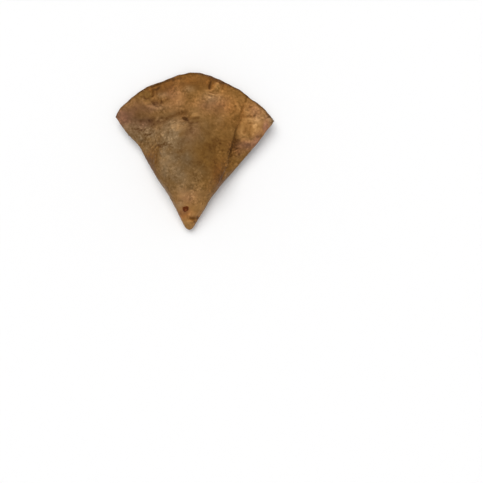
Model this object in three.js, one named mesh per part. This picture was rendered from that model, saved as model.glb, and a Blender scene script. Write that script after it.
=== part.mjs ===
// A large fried samosa, lying on its back with its folded front up.
//
// A half round of dough is rolled into a cone round its filling. The right third is folded in first, and the
// left third is laid over it, so that its cut edge shows on the front as a long step. The mouth of the cone
// is pressed shut into a curved brim, where the cut edges of two or three layers show. The filling stands
// up as a pillow below the brim.
//
// Millimetres, +Z up. The blunt point of the cone faces -Y and the curved brim +Y. The origin is the middle
// of the box round it, on the surface that it rests on.
//
// The skin is one closed grid. Each row runs across the front and back across the underside, and the rows
// follow each other from the point to the brim, round the cut edges of the brim and into its seam.
// "across" goes from 0 at the left folded side to 1 at the right one, and "along" from 0 at the point to 1
// at the brim.

import * as THREE from "three";
import { ParametricGeometry } from "three/addons/geometries/ParametricGeometry.js";
import { mergeVertices } from "three/addons/utils/BufferGeometryUtils.js";

const { clamp, degToRad, lerp, smoothstep } = THREE.MathUtils;

// ---------------------------------------------------------------- driving dimensions

const APEX = new THREE.Vector2(-6, -74.9); // where the two folded sides would meet, past the blunt point
const POINT_REACH = 4.1; // from the apex to the blunt point
const SIDE_LEAN = 30; // degrees, half the angle between the sides at the point

const LAYER = 2.1; // thickness of one sheet of dough
const FOLD_RADIUS = 2.6; // how far in from a folded side the skin reaches its full thickness
const SEAM_DEPTH = 1.7; // how far the seams between the brim's layers go in
const FLAP_RUN = 0.004; // share of the width that the front flap's cut edge takes
const FLAP_RUN_ON_BRIM = 0.012; // the same where the flap is pressed into the brim

const PILLOW_TOP = 22; // how far the filling lifts the front
const PILLOW_UNDER = 15; // how far it would push the underside down if nothing were there
const PILLOW_CREST = 0.43; // share of the way across where the pillow is highest
const BRIM_PUFF = 3.2; // how far steam has lifted the front of the brim
const SIDES_HEIGHT = 9.6; // height of the folded sides above the table
const POINT_HEIGHT = 5.4; // height of the point above the table

const HALF_COLUMNS = 56; // cells across the front, and as many across the underside
const FLAP_COLUMN = 44; // the column that lies on the front flap's cut edge
const SKIN_ROWS = 42; // rows of cells from the point to the brim
const RIM_ROWS = 5; // rows from the brim's outer corner into its seam

// Folded sides: [mm from the apex, degrees from the +Y line through the apex].
const LEFT_SIDE = curve([
  [14, -27], [28, -26.4], [42, -27.4], [56, -29.2], [76, -29.4], [90, -29.3], [106, -31.2], [124, -31.9],
]);
const RIGHT_SIDE = curve([
  [20, 33], [36, 32.2], [54, 33.8], [68, 35.5], [86, 36.7], [104, 37.4],
]);

// The brim, by share across: how far it reaches from the apex, and how high it is above the table.
const BRIM_REACH = curve([
  [0, 123.6], [0.045, 128.2], [0.12, 132], [0.19, 136], [0.265, 138.5], [0.35, 140.8], [0.45, 144.7],
  [0.54, 145], [0.65, 141], [0.745, 137.8], [0.81, 134.6], [0.88, 132.5], [0.96, 129.2], [1, 127.3],
]);
const BRIM_HEIGHT = curve([
  [0, 12.4], [0.12, 10.4], [0.3, 8.8], [0.47, 10.6], [0.65, 8.6], [0.82, 10], [1, 13.6],
]);

// How far the cut edges of the front and middle layers stand back from the back layer's.
const FRONT_SETBACK = curve([
  [0, 0], [0.08, 0.5], [0.25, 1.7], [0.42, 0.6], [0.6, 2.1], [0.78, 0.9], [0.9, 1.5], [1, 0],
]);
const MIDDLE_SETBACK = curve([[0, 0], [0.3, 0.9], [0.5, 1.5], [0.7, 0.6], [1, 0]]);

// Cut edge of the front flap: [share along, share across].
const FLAP_EDGE = curve([
  [0, 0.97], [0.2, 0.975], [0.31, 0.982], [0.39, 0.964], [0.49, 0.923], [0.58, 0.874], [0.685, 0.831],
  [0.77, 0.81], [1, 0.806],
]);
const FLAP_STARTS = [0.3, 0.42]; // shares along between which the cut edge comes out of the right fold
const FLAP_PRESSED = [0.7, 0.92]; // shares along between which the flap is pressed into the brim

// Edge of the flap folded in first, which lies under the front one: shares across between which it rises.
const HIDDEN_EDGE_ON_BRIM = [0.41, 0.47];
const HIDDEN_EDGE_ON_PILLOW = [0.15, 0.45];

// The pillow's crest: [share along, share of its full height].
const PILLOW_RIDGE = curve([
  [0, 0], [0.03, 0.13], [0.08, 0.31], [0.16, 0.5], [0.28, 0.74], [0.4, 0.93], [0.5, 1], [0.62, 0.97],
  [0.75, 0.84], [1, 0.6],
]);

// Shares along at which the filling starts to thin and is gone, by share across.
const FILLING_THINS = curve([[0, 0.5], [0.25, 0.52], [0.45, 0.53], [0.7, 0.42], [1, 0.36]]);
const FILLING_ENDS = curve([[0, 0.84], [0.25, 0.86], [0.42, 0.88], [0.6, 0.96], [0.8, 0.98], [1, 0.86]]);

// Creases (falling) and ridges (rising) in the front: a line in X and Y, its width and its rise.
const FOLDS = [
  {
    at: [[-60, 26.5], [-48, 24.8], [-38, 24.4], [-30, 25.8], [-23.5, 28.8], [-16, 32], [-8, 33.6], [2, 33]],
    width: 7,
    rise: -2.4,
  },
  { at: [[-8.1, 28.7], [-1.8, 24.1], [6, 24.6]], width: 6, rise: -1.4 },
  { at: [[-49.5, 48.5], [-44.1, 42.5], [-37.8, 38.9], [-30.6, 37.4], [-22.5, 39.5]], width: 7, rise: 1.8 },
  { at: [[-34.2, 56.5], [-38.5, 50], [-35, 44.1], [-27, 44.5]], width: 7, rise: -1.5 },
  { at: [[-16, 28.5], [-19.5, 17.5], [-22, 5.5]], width: 11, rise: 1.5 },
  { at: [[2, 51.5], [3.5, 39.5], [2.5, 32.5]], width: 11, rise: 1.1 },
  { at: [[39, 21], [36.5, 9], [33, -4]], width: 7, rise: -1.6 },
  { at: [[-8, -60.3], [-1, -60.9], [5, -62]], width: 5, rise: -1.1 },
];
const FOLD_FADES = [-0.1, 0.25]; // shares of a fold's length, from its end, between which it gets its full rise

// Blisters in the fried skin, a shallow dent, a burst blister and a bump under a slice of chilli.
const BLISTERS = [
  { at: [50.4, 19.2], radius: 11.5, rise: 3 },
  { at: [49.5, 39.6], radius: 6, rise: 1.6 },
  { at: [61.5, 30.5], radius: 5.5, rise: 1.2 },
  { at: [33.4, 37], radius: 7.5, rise: 1.5 },
  { at: [20, 56.4], radius: 6, rise: 1.7 },
  { at: [38.7, -2.4], radius: 5.5, rise: 1.4 },
  { at: [22.8, 22.6], radius: 5.5, rise: 1.1 },
  { at: [-29.3, 8.5], radius: 5.5, rise: 1.4 },
  { at: [-46.8, 10.9], radius: 5.5, rise: 1.3 },
  { at: [-25, -2], radius: 6, rise: 1.3 },
  { at: [-24.3, -12.5], radius: 7, rise: 1.3 },
  { at: [-55.5, 16.5], radius: 5.5, rise: 1.2 },
  { at: [15, -1], radius: 16, rise: -2 },
  { at: [-8.4, 27.8], radius: 5, rise: -2 },
  { at: [-7.9, -52.5], radius: 4.6, rise: 0.9 },
];

// Lumps of filling that show through the skin: wavelength in mm, heading and shift in degrees.
const LUMPS = [
  { wavelength: 34, heading: 20, shift: 40, rise: 0.7 },
  { wavelength: 27, heading: 100, shift: 130, rise: 0.6 },
  { wavelength: 19, heading: 65, shift: 250, rise: 0.45 },
  { wavelength: 14, heading: 150, shift: 10, rise: 0.3 },
];

// ---------------------------------------------------------------- small helpers

// A smooth curve through [x, y] points, as a function of x. It is level outside them.
function curve(points) {
  const last = points.length - 1;
  const slope = (i) => {
    const [a, b] = [points[Math.max(i - 1, 0)], points[Math.min(i + 1, last)]];
    return (b[1] - a[1]) / (b[0] - a[0]);
  };
  return (x) => {
    if (x <= points[0][0]) return points[0][1];
    if (x >= points[last][0]) return points[last][1];
    const i = points.findIndex((p) => p[0] > x) - 1;
    const step = points[i + 1][0] - points[i][0];
    const t = (x - points[i][0]) / step;
    const [t2, t3] = [t * t, t * t * t];
    const level = (2 * t3 - 3 * t2 + 1) * points[i][1] + (3 * t2 - 2 * t3) * points[i + 1][1];
    return level + step * ((t3 - 2 * t2 + t) * slope(i) + (t3 - t2) * slope(i + 1));
  };
}

// Quarter round: 0 and upright at the edge, 1 from radius on.
function quarterRound(distance, radius) {
  const inside = 1 - clamp(distance / radius, 0, 1);
  return Math.sqrt(1 - inside * inside);
}

// Goes from 0 to 1 in even steps, but for shorter ones near 0.
function shortAtStart(t, reach) {
  return (Math.hypot(t, reach) - reach) / (Math.hypot(1, reach) - reach);
}

// 1 on a fold's line, fading to nothing about one width away from it and weaker towards its two ends.
function nearFold(x, y, fold) {
  let [nearest, reached, run] = [Infinity, 0, 0];
  for (let i = 1; i < fold.at.length; i++) {
    const [ax, ay] = fold.at[i - 1];
    const [bx, by] = [fold.at[i][0] - ax, fold.at[i][1] - ay];
    const t = clamp(((x - ax) * bx + (y - ay) * by) / (bx * bx + by * by), 0, 1);
    const distance = Math.hypot(x - ax - t * bx, y - ay - t * by);
    const length = Math.hypot(bx, by);
    if (distance < nearest) {
      nearest = distance;
      reached = run + t * length;
    }
    run += length;
  }
  const fromEnd = Math.min(reached, run - reached) / run;
  return Math.exp(-((nearest / (fold.width / 2)) ** 2)) * smoothstep(fromEnd, ...FOLD_FADES);
}

// ---------------------------------------------------------------- the outline, seen from above

// The sides close in on a small circle at the point: 0 at its tip, 1 from where they run straight.
function bluntness(reach) {
  const lean = degToRad(SIDE_LEAN);
  const centre = POINT_REACH / (1 - Math.sin(lean));
  if (reach >= centre * Math.cos(lean)) return 1;
  const radius = centre - POINT_REACH;
  const cosine = (reach * reach + centre * centre - radius * radius) / (2 * reach * centre);
  return Math.acos(Math.min(cosine, 1)) / lean;
}

function reachTo(across, along) {
  return lerp(POINT_REACH, BRIM_REACH(across), along);
}

function plan(across, along, setback) {
  const [left, right] = [reachTo(0, along), reachTo(1, along)];
  const [leftAngle, rightAngle] = [LEFT_SIDE(left) * bluntness(left), RIGHT_SIDE(right) * bluntness(right)];
  const angle = degToRad(lerp(leftAngle, rightAngle, across));
  const reach = reachTo(across, along) - setback;
  return [APEX.x + reach * Math.sin(angle), APEX.y + reach * Math.cos(angle)];
}

// ---------------------------------------------------------------- heights

// Height of the seam between the back layer and what lies on it.
function seamHeight(across, along) {
  const sides = lerp(POINT_HEIGHT, SIDES_HEIGHT, smoothstep(along, 0, 0.35));
  return lerp(sides, BRIM_HEIGHT(across), smoothstep(along, 0.55, 1));
}

// One layer's thickness, rounded off where the sheet turns round the folded sides and the point.
function layer(across, along) {
  const toSide = Math.min(across, 1 - across) * reachTo(across, along) * 1.2;
  return LAYER * quarterRound(toSide, FOLD_RADIUS) * quarterRound(along, 0.05);
}

// The layer between front and back, which ends at the front flap's cut edge.
function middleLayer(across, along) {
  const onPillow = smoothstep(across, ...HIDDEN_EDGE_ON_PILLOW);
  const onBrim = smoothstep(across, ...HIDDEN_EDGE_ON_BRIM);
  const begins = lerp(onPillow, onBrim, smoothstep(along, 0.6, 0.8));
  const underFlap = across < FLAP_EDGE(along) + FLAP_RUN / 2 ? 1 : 0;
  return LAYER * begins * underFlap * smoothstep(along, ...FLAP_STARTS);
}

// How full the cone is: 0 at its folded sides, 1 on the crest of the pillow.
function fullness(across, along) {
  const skewed = across ** (Math.log(0.5) / Math.log(PILLOW_CREST));
  const spread = Math.max(1 - Math.abs(2 * skewed - 1) ** 2.2, 0);
  const softness = lerp(0.52, 1.35, smoothstep(along, 0.4, 0.8));
  const thinning = 1 - smoothstep(along, FILLING_THINS(across), FILLING_ENDS(across));
  return spread ** softness * PILLOW_RIDGE(along) * thinning;
}

function brimPuff(across, along) {
  const inward = smoothstep(along, 0.68, 0.82) * (1 - smoothstep(along, 0.86, 1));
  return BRIM_PUFF * inward * smoothstep(across, 0.02, 0.24) * (1 - smoothstep(across, 0.55, 0.8));
}

function lumps(x, y) {
  let rise = 0;
  for (const lump of LUMPS) {
    const heading = degToRad(lump.heading);
    const run = x * Math.cos(heading) + y * Math.sin(heading);
    rise += lump.rise * Math.sin((2 * Math.PI * run) / lump.wavelength + degToRad(lump.shift));
  }
  return rise;
}

function relief(x, y) {
  let rise = lumps(x, y);
  for (const fold of FOLDS) rise += fold.rise * nearFold(x, y, fold);
  for (const blister of BLISTERS) {
    const d = Math.hypot(x - blister.at[0], y - blister.at[1]) / blister.radius;
    if (d < 1) rise += blister.rise * (1 - d * d) ** 1.5;
  }
  return rise;
}

// 0 at the outline, 1 well inside it, where the relief may have its full height.
function inside(across, along) {
  const fromSide = smoothstep(Math.min(across, 1 - across), 0, 0.07);
  return fromSide * smoothstep(along, 0, 0.07) * lerp(1, 0.35, smoothstep(along, 0.93, 1));
}

function frontHeight(across, along) {
  const [x, y] = plan(across, along, 0);
  const sheets = layer(across, along) + middleLayer(across, along);
  const filling = PILLOW_TOP * fullness(across, along) + brimPuff(across, along);
  return seamHeight(across, along) + sheets + filling + relief(x, y) * inside(across, along);
}

function undersideHeight(across, along) {
  const [x, y] = plan(across, along, 0);
  const filling = PILLOW_UNDER * fullness(across, along) ** 0.8 + lumps(x, y) * inside(across, along);
  return Math.max(seamHeight(across, along) - layer(across, along) - filling, 0);
}

// ---------------------------------------------------------------- the skin

// Share across of a column: even, but closer at the folded sides, with two columns on the flap's cut edge.
function columnPlace(column, along) {
  const edge = FLAP_EDGE(along);
  if (column <= FLAP_COLUMN) return edge * shortAtStart(column / FLAP_COLUMN, 0.06);
  const run = lerp(FLAP_RUN, FLAP_RUN_ON_BRIM, smoothstep(along, ...FLAP_PRESSED));
  const fromRight = (HALF_COLUMNS - column) / (HALF_COLUMNS - FLAP_COLUMN - 1);
  return 1 - (1 - edge - run) * shortAtStart(fromRight, 0.15);
}

// Share along of a row: even, but closer at the point and with one row just inside the brim.
function rowPlace(row) {
  if (row >= SKIN_ROWS) return 1;
  return 0.99 * shortAtStart(row / (SKIN_ROWS - 1), 0.05);
}

// How far the brim's cut edges round and how deep its seam is: 0 at the corners, where the layers are one.
function brimOpenness(across) {
  return quarterRound(Math.min(across, 1 - across), 0.04);
}

function seamSetback(across) {
  return Math.max(FRONT_SETBACK(across), MIDDLE_SETBACK(across)) + SEAM_DEPTH * brimOpenness(across);
}

// Cut edges of the front and middle layers, from the top down: [how far each point stands back, its height].
function frontRim(across) {
  const [seam, thick, middle] = [seamHeight(across, 1), layer(across, 1), middleLayer(across, 1)];
  const front = FRONT_SETBACK(across);
  const share = middle / LAYER;
  return [
    [front - 0.4 * brimOpenness(across), seam + middle + thick * 0.55],
    [front, seam + middle + thick * 0.12],
    [lerp(seamSetback(across), front, 0.5 * (1 - share)), seam + middle],
    [lerp(front, MIDDLE_SETBACK(across), share), seam + Math.max(middle * 0.5, thick * 0.06)],
  ];
}

// Cut edge of the back layer, from the bottom up.
function backRim(across) {
  const [seam, thick] = [seamHeight(across, 1), layer(across, 1)];
  return [0.25, 0.5, 0.75, 1].map((share) => {
    const bulge = 0.5 * brimOpenness(across) * Math.sin(Math.PI * share);
    return [-bulge, seam - thick * lerp(0.85, 0.15, share)];
  });
}

function rimPoint(onFront, across, rimRow) {
  if (rimRow === RIM_ROWS) return [seamSetback(across), seamHeight(across, 1)];
  return onFront ? frontRim(across)[rimRow - 1] : backRim(across)[rimRow - 1];
}

// Setback and height of a point on the front or the underside.
function skinPoint(onFront, across, along) {
  if (!onFront) return [0, undersideHeight(across, along)];
  return [FRONT_SETBACK(across) * smoothstep(along, 0.94, 1), frontHeight(across, along)];
}

// u goes once round the cone: 0 to 0.5 over the front from left to right, 0.5 to 1 back under it.
function skin(u, v, target) {
  const around = Math.round(u * 2 * HALF_COLUMNS);
  const onFront = around <= HALF_COLUMNS;
  const row = Math.round(v * (SKIN_ROWS + RIM_ROWS));
  const along = rowPlace(row);
  const across = columnPlace(onFront ? around : 2 * HALF_COLUMNS - around, along);
  const onRim = row > SKIN_ROWS;
  const [setback, z] = onRim ? rimPoint(onFront, across, row - SKIN_ROWS) : skinPoint(onFront, across, along);
  const [x, y] = plan(across, along, setback);
  target.set(x, y, z);
}

// One closed shell: shared vertices joined, and the cells that shrink to nothing left out.
function weld(geometry) {
  geometry.deleteAttribute("normal");
  geometry.deleteAttribute("uv");
  const merged = mergeVertices(geometry, 1e-3);
  const index = merged.index.array;
  const kept = [];
  for (let i = 0; i < index.length; i += 3) {
    const [a, b, c] = [index[i], index[i + 1], index[i + 2]];
    if (a !== b && b !== c && c !== a) kept.push(a, b, c);
  }
  merged.setIndex(kept);
  merged.computeVertexNormals();
  return merged;
}

function samosa() {
  const geometry = weld(new ParametricGeometry(skin, 2 * HALF_COLUMNS, SKIN_ROWS + RIM_ROWS));
  const crust = new THREE.MeshStandardMaterial({ color: 0xa9713a, roughness: 0.6, metalness: 0 });
  const mesh = new THREE.Mesh(geometry, crust);
  mesh.name = "samosa";
  return mesh;
}

const root = new THREE.Group();
root.add(samosa());
export default root;
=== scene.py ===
import math
import random

import bmesh
import bpy
import numpy as np
from bpy.props import FloatProperty, FloatVectorProperty, IntProperty, PointerProperty
from bpy.types import Operator, Panel, PropertyGroup
from mathutils import Matrix, Vector, noise
from mathutils.bvhtree import BVHTree


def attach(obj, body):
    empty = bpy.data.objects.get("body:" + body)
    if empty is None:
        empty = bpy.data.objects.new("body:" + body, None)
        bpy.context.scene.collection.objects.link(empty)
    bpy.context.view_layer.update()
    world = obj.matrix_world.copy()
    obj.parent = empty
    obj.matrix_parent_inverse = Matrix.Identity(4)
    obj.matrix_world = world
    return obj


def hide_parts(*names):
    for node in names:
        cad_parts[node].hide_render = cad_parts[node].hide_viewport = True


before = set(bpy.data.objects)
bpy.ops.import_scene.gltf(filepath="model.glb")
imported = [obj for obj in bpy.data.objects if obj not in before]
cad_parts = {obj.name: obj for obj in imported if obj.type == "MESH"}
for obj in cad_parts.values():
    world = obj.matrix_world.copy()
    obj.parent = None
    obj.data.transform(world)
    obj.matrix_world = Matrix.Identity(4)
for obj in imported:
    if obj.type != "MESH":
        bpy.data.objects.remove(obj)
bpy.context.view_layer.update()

bl_info = {
    "name": "Fried samosa",
    "version": (1, 0, 0),
    "blender": (4, 5, 0),
    "location": "View3D > Sidebar > Samosa",
    "description": "A large fried samosa with a folded flap, a layered brim and a blistered crust",
    "category": "Object",
}

# A half round of dough is rolled into a cone round its filling, and pressed shut into a curved brim.
# The dough's shape is worked out in millimetres, and the finished pieces are in metres.
# "across" goes from 0 at the left folded side to 1 at the right one, and "along" from 0 at the cone's
# blunt point to 1 at its brim.

MM = 0.001
BODY = "root"
NODE = "samosa"

# Shares of a line's length, from its end, between which it gets its full strength.
LINE_FADES = (-0.1, 0.25)


# ---------------------------------------------------------------- small helpers


def curve(points):
    """A smooth curve through (x, y) points, as a function of x. It is level outside them."""
    xs, ys = np.array(points, dtype=float).T
    before = np.concatenate(([0], np.arange(len(xs) - 1)))
    after = np.concatenate((np.arange(1, len(xs)), [len(xs) - 1]))
    slopes = (ys[after] - ys[before]) / (xs[after] - xs[before])

    def value(x):
        x = np.clip(x, xs[0], xs[-1])
        i = np.clip(np.searchsorted(xs, x, side="right") - 1, 0, len(xs) - 2)
        step = xs[i + 1] - xs[i]
        t = (x - xs[i]) / step
        level = (2 * t**3 - 3 * t**2 + 1) * ys[i] + (3 * t**2 - 2 * t**3) * ys[i + 1]
        return level + step * ((t**3 - 2 * t**2 + t) * slopes[i] + (t**3 - t**2) * slopes[i + 1])

    return value


def smoothstep(x, low, high):
    t = np.clip((x - low) / (high - low), 0, 1)
    return t * t * (3 - 2 * t)


def hump(x, rises, falls):
    """Rises from 0 to 1 between two values of x, and falls back to 0 between two later ones."""
    return smoothstep(x, *rises) * (1 - smoothstep(x, *falls))


def lerp(a, b, t):
    return a + (b - a) * t


def quarter_round(distance, radius):
    """0 and upright at the edge, 1 from radius on."""
    inside = 1 - np.clip(distance / radius, 0, 1)
    return np.sqrt(1 - inside * inside)


def short_at_start(t, reach):
    """Goes from 0 to 1 in even steps, but for shorter ones near 0."""
    return (np.hypot(t, reach) - reach) / (np.hypot(1, reach) - reach)


def bell(distance, width):
    """1 in the middle, fading to nothing about one width away."""
    return np.exp(-((distance / (width / 2)) ** 2))


def near_line(x, y, line, width):
    """1 on a line, fading to nothing about one width away from it and weaker towards its two ends."""
    nearest, reached, run = np.full(np.shape(x), np.inf), np.zeros(np.shape(x)), 0
    for (ax, ay), (bx, by) in zip(line, line[1:]):
        dx, dy = bx - ax, by - ay
        t = np.clip(((x - ax) * dx + (y - ay) * dy) / (dx * dx + dy * dy), 0, 1)
        distance = np.hypot(x - ax - t * dx, y - ay - t * dy)
        closer = distance < nearest
        nearest = np.where(closer, distance, nearest)
        reached = np.where(closer, run + t * math.hypot(dx, dy), reached)
        run += math.hypot(dx, dy)
    from_end = np.minimum(reached, run - reached) / run
    return bell(nearest, width) * smoothstep(from_end, *LINE_FADES)


def noise_at(places, wavelength, octaves, shift):
    """Smooth noise from about -1 to 1 at places in millimetres."""
    offset = Vector((shift, shift * 0.7, -shift))
    scaled = places / wavelength
    return np.array([noise.fractal(Vector(p) + offset, 1.0, 2.0, octaves) for p in scaled])


def unevenness(places, layers):
    """Layers of noise added up: how much, wavelength in mm, octaves and shift of each."""
    return sum(amount * noise_at(places, *layer) for amount, *layer in layers)


def cell_distance(places, size):
    """Distance to the nearest of scattered points about one size apart: 0 on one, about 1 between two."""
    return np.array([noise.voronoi(Vector(p))[0][0] for p in places / size])


# ---------------------------------------------------------------- sizes and colours a user may change


def length_setting(name, description, default, smallest=0.0):
    return FloatProperty(name=name, description=description, default=default, min=smallest, unit="LENGTH")


def colour_setting(name, description, default):
    return FloatVectorProperty(
        name=name, description=description, default=default, subtype="COLOR", min=0.0, max=1.0
    )


def strength_setting(name, description, default):
    return FloatProperty(name=name, description=description, default=default, min=0.0)


class SAMOSA_PG_dough(PropertyGroup):
    """How the dough is folded and filled."""

    layer: length_setting("Dough thickness", "Thickness of one sheet of dough", 0.0021, 0.0005)
    fold_radius: length_setting(
        "Fold radius", "How far in from a folded side the dough reaches its full thickness", 0.0026, 0.0005
    )
    seam_depth: length_setting("Seam depth", "How far the seams between the brim's layers go in", 0.0017)
    pillow_top: length_setting("Filling above", "How far the filling lifts the front", 0.022)
    pillow_under: length_setting(
        "Filling below", "How far the filling would push the underside down if nothing were there", 0.015
    )
    brim_puff: length_setting("Brim puff", "How far steam has lifted the front of the brim", 0.0032)
    sides_height: length_setting("Sides height", "Height of the folded sides above the table", 0.0096)
    point_height: length_setting("Point height", "Height of the cone's point above the table", 0.0054)


class SAMOSA_PG_crust(PropertyGroup):
    """How the crust has fried."""

    pale: colour_setting("Pale", "Thin skin of blisters that has hardly browned", (0.5, 0.27, 0.1))
    golden: colour_setting("Golden", "Where the crust has fried least", (0.32, 0.162, 0.0485))
    brown: colour_setting("Brown", "Most of the crust", (0.171, 0.083, 0.019))
    # creases and the brim's grooves reach this colour partly as painted shade
    dark: colour_setting("Dark", "Creases, cut edges and the rims of blisters", (0.066, 0.021, 0.003))
    oily: colour_setting("Oily", "Hue of the crust where oil has soaked in", (0.3, 0.113, 0.021))
    # this hue also paints the greyish sheen on the pillow's upper left slope
    dusty_and_sheen: colour_setting("Dusty", "Hue of the crust where it has dried to a dull skin", (0.2, 0.128, 0.064))
    rosy: colour_setting(
        "Rosy", "Hue of the crust at its thin corners and beside the chilli", (0.25, 0.115, 0.066)
    )
    roughness: FloatProperty(
        name="Roughness",
        description="Roughness of the dry crust",
        subtype="FACTOR",
        default=0.56,
        min=0.0,
        max=1.0,
    )
    blister_seed: IntProperty(
        name="Blister seed",
        description="Chooses another scatter of small blisters",
        default=7,
        min=0,
    )


class SAMOSA_PG_stage(PropertyGroup):
    """Floor and lights."""

    floor_colour: colour_setting("Floor", "Colour of the floor", (0.82, 0.825, 0.835))
    key: strength_setting("Key light", "Strength of the large soft light behind the brim", 2.1)
    overhead: strength_setting("Overhead light", "Strength of the wide soft light overhead", 0.9)
    walls: strength_setting("Walls", "Brightness of the studio's pale walls", 0.965)
    ceiling: strength_setting("Ceiling", "Brightness of the studio's ceiling", 0.32)


# ---------------------------------------------------------------- the dough's shape

APEX = (-6.0, -74.9)  # where the two folded sides would meet, past the blunt point
POINT_REACH = 4.1  # from the apex to the blunt point
SIDE_LEAN = math.radians(30)  # half the angle between the sides at the point
WIDTH_PER_REACH = 1.2  # width of the cone for each mm from its apex

# Shares along between which the sides rise from the point's height to their own, and the brim's height
# takes over from theirs.
SIDES_RISE = (0, 0.35)
BRIM_TAKES_OVER = (0.55, 1)
POINT_ROUND = 0.05  # share along over which the layers round off at the point

PILLOW_CREST = 0.43  # share of the way across where the pillow is highest
PILLOW_SHOULDERS = 2.2  # 2 is a round arch across the pillow, more is squarer
PILLOW_SLOPES = (0.52, 1.35)  # its sides: below 1 they are steep and round, above 1 they run out flat
PILLOW_FLATTENS = (0.4, 0.8)  # shares along between which its sides go from the one to the other
UNDER_SLOPES = 0.8  # below 1, the filling reaches nearer to the sides on the underside than on the front

# Shares along and across between which the steam's lift of the brim rises, and then falls again.
PUFF_ALONG = ((0.68, 0.82), (0.86, 1))
PUFF_ACROSS = ((0.02, 0.24), (0.55, 0.8))

RELIEF_STARTS = 0.07  # share of the way in from the outline over which the relief gets its full height
BRIM_RELIEF = 0.35  # share of it that is left at the brim's edge
BRIM_CALMS = (0.93, 1)  # shares along between which it gets down to that
DOME_SOFTNESS = 1.5  # how gently a large blister's dome meets the skin round it

# Folded sides: mm from the apex, degrees from the +Y line through the apex.
LEFT_SIDE = curve([
    (14, -27), (28, -26.4), (42, -27.4), (56, -29.2), (76, -29.4), (90, -29.3), (106, -31.2), (124, -31.9),
])
RIGHT_SIDE = curve([(20, 33), (36, 32.2), (54, 33.8), (68, 35.5), (86, 36.7), (104, 37.4)])

# The brim, by share across: how far it reaches from the apex, and how high it is above the table.
BRIM_REACH = curve([
    (0, 123.6), (0.045, 128.2), (0.12, 132), (0.19, 136), (0.265, 138.5), (0.35, 140.8), (0.45, 144.7),
    (0.54, 145), (0.65, 141), (0.745, 137.8), (0.81, 134.6), (0.88, 132.5), (0.96, 129.2), (1, 127.3),
])
BRIM_HEIGHT = curve([(0, 12.4), (0.12, 10.4), (0.3, 8.8), (0.47, 10.6), (0.65, 8.6), (0.82, 10), (1, 13.6)])

# How far the cut edges of the front and middle layers stand back from the back layer's.
FRONT_SETBACK = curve([
    (0, 0), (0.08, 0.5), (0.25, 1.7), (0.42, 0.6), (0.6, 2.1), (0.78, 0.9), (0.9, 1.5), (1, 0),
])
MIDDLE_SETBACK = curve([(0, 0), (0.3, 0.9), (0.5, 1.5), (0.7, 0.6), (1, 0)])

# Cut edge of the front flap: share along, share across.
FLAP_EDGE = curve([
    (0, 0.97), (0.2, 0.975), (0.31, 0.982), (0.39, 0.964), (0.49, 0.923), (0.58, 0.874), (0.685, 0.831),
    (0.77, 0.81), (1, 0.806),
])
FLAP_STARTS = (0.3, 0.42)  # shares along between which the cut edge comes out of the right fold

# Edge of the flap folded in first, which lies under the front one: shares across between which it rises.
HIDDEN_EDGE_ON_BRIM = (0.41, 0.47)
HIDDEN_EDGE_ON_PILLOW = (0.15, 0.45)
HIDDEN_EDGE_SHIFTS = (0.6, 0.8)  # shares along between which it goes from the pillow's to the brim's

# The pillow's crest: share along, share of its full height.
PILLOW_RIDGE = curve([
    (0, 0), (0.03, 0.13), (0.08, 0.31), (0.16, 0.5), (0.28, 0.74), (0.4, 0.93), (0.5, 1), (0.62, 0.97),
    (0.75, 0.84), (1, 0.6),
])

# Shares along at which the filling starts to thin and is gone, by share across.
FILLING_THINS = curve([(0, 0.5), (0.25, 0.52), (0.45, 0.53), (0.7, 0.42), (1, 0.36)])
FILLING_ENDS = curve([(0, 0.84), (0.25, 0.86), (0.42, 0.88), (0.6, 0.96), (0.8, 0.98), (1, 0.86)])

# Creases (falling) and ridges (rising) in the front: a line in X and Y, its width and its rise.
MAIN_CREASE = [
    (-60, 26.5), (-48, 24.8), (-38, 24.4), (-30, 25.8), (-23.5, 28.8), (-16, 32), (-8, 33.6), (2, 33),
]
FOLDS = [
    (MAIN_CREASE, 7, -2.4),
    ([(-8.1, 28.7), (-1.8, 24.1), (6, 24.6)], 6, -1.4),
    ([(-49.5, 48.5), (-44.1, 42.5), (-37.8, 38.9), (-30.6, 37.4), (-22.5, 39.5)], 7, 1.8),
    ([(-34.2, 56.5), (-38.5, 50), (-35, 44.1), (-27, 44.5)], 7, -1.5),
    ([(-16, 28.5), (-19.5, 17.5), (-22, 5.5)], 11, 1.5),
    ([(2, 51.5), (3.5, 39.5), (2.5, 32.5)], 11, 1.1),
    ([(39, 21), (36.5, 9), (33, -4)], 7, -1.6),
    ([(-8, -60.3), (-1, -60.9), (5, -62)], 5, -1.1),
]

# Large blisters in the front, and last a shallow dent, a burst blister and a bump under the chilli: centre,
# radius, rise.
BLISTERS = [
    ((50.4, 19.2), 11.5, 3),
    ((49.5, 39.6), 6, 1.6),
    ((61.5, 30.5), 5.5, 1.2),
    ((33.4, 37), 7.5, 1.5),
    ((20, 56.4), 6, 1.7),
    ((38.7, -2.4), 5.5, 1.4),
    ((22.8, 22.6), 5.5, 1.1),
    ((-29.3, 8.5), 5.5, 1.4),
    ((-46.8, 10.9), 5.5, 1.3),
    ((-25, -2), 6, 1.3),
    ((-24.3, -12.5), 7, 1.3),
    ((-55.5, 16.5), 5.5, 1.2),
    ((15, -1), 16, -2),
    ((-8.4, 27.8), 5, -2),
    ((-7.9, -52.5), 4.6, 0.9),
]

# Lumps of filling that show through the skin: wavelength in mm, heading and shift in degrees, rise in mm.
LUMPS = [(34, 20, 40, 0.7), (27, 100, 130, 0.6), (19, 65, 250, 0.45), (14, 150, 10, 0.3)]


def bluntness(reach):
    """The sides close in on a small circle at the point: 0 at its tip, 1 from where they run straight."""
    centre = POINT_REACH / (1 - math.sin(SIDE_LEAN))
    radius = centre - POINT_REACH
    cosine = (reach * reach + centre * centre - radius * radius) / (2 * reach * centre)
    on_circle = np.arccos(np.clip(cosine, -1, 1)) / SIDE_LEAN
    return np.where(reach >= centre * math.cos(SIDE_LEAN), 1, on_circle)


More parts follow.
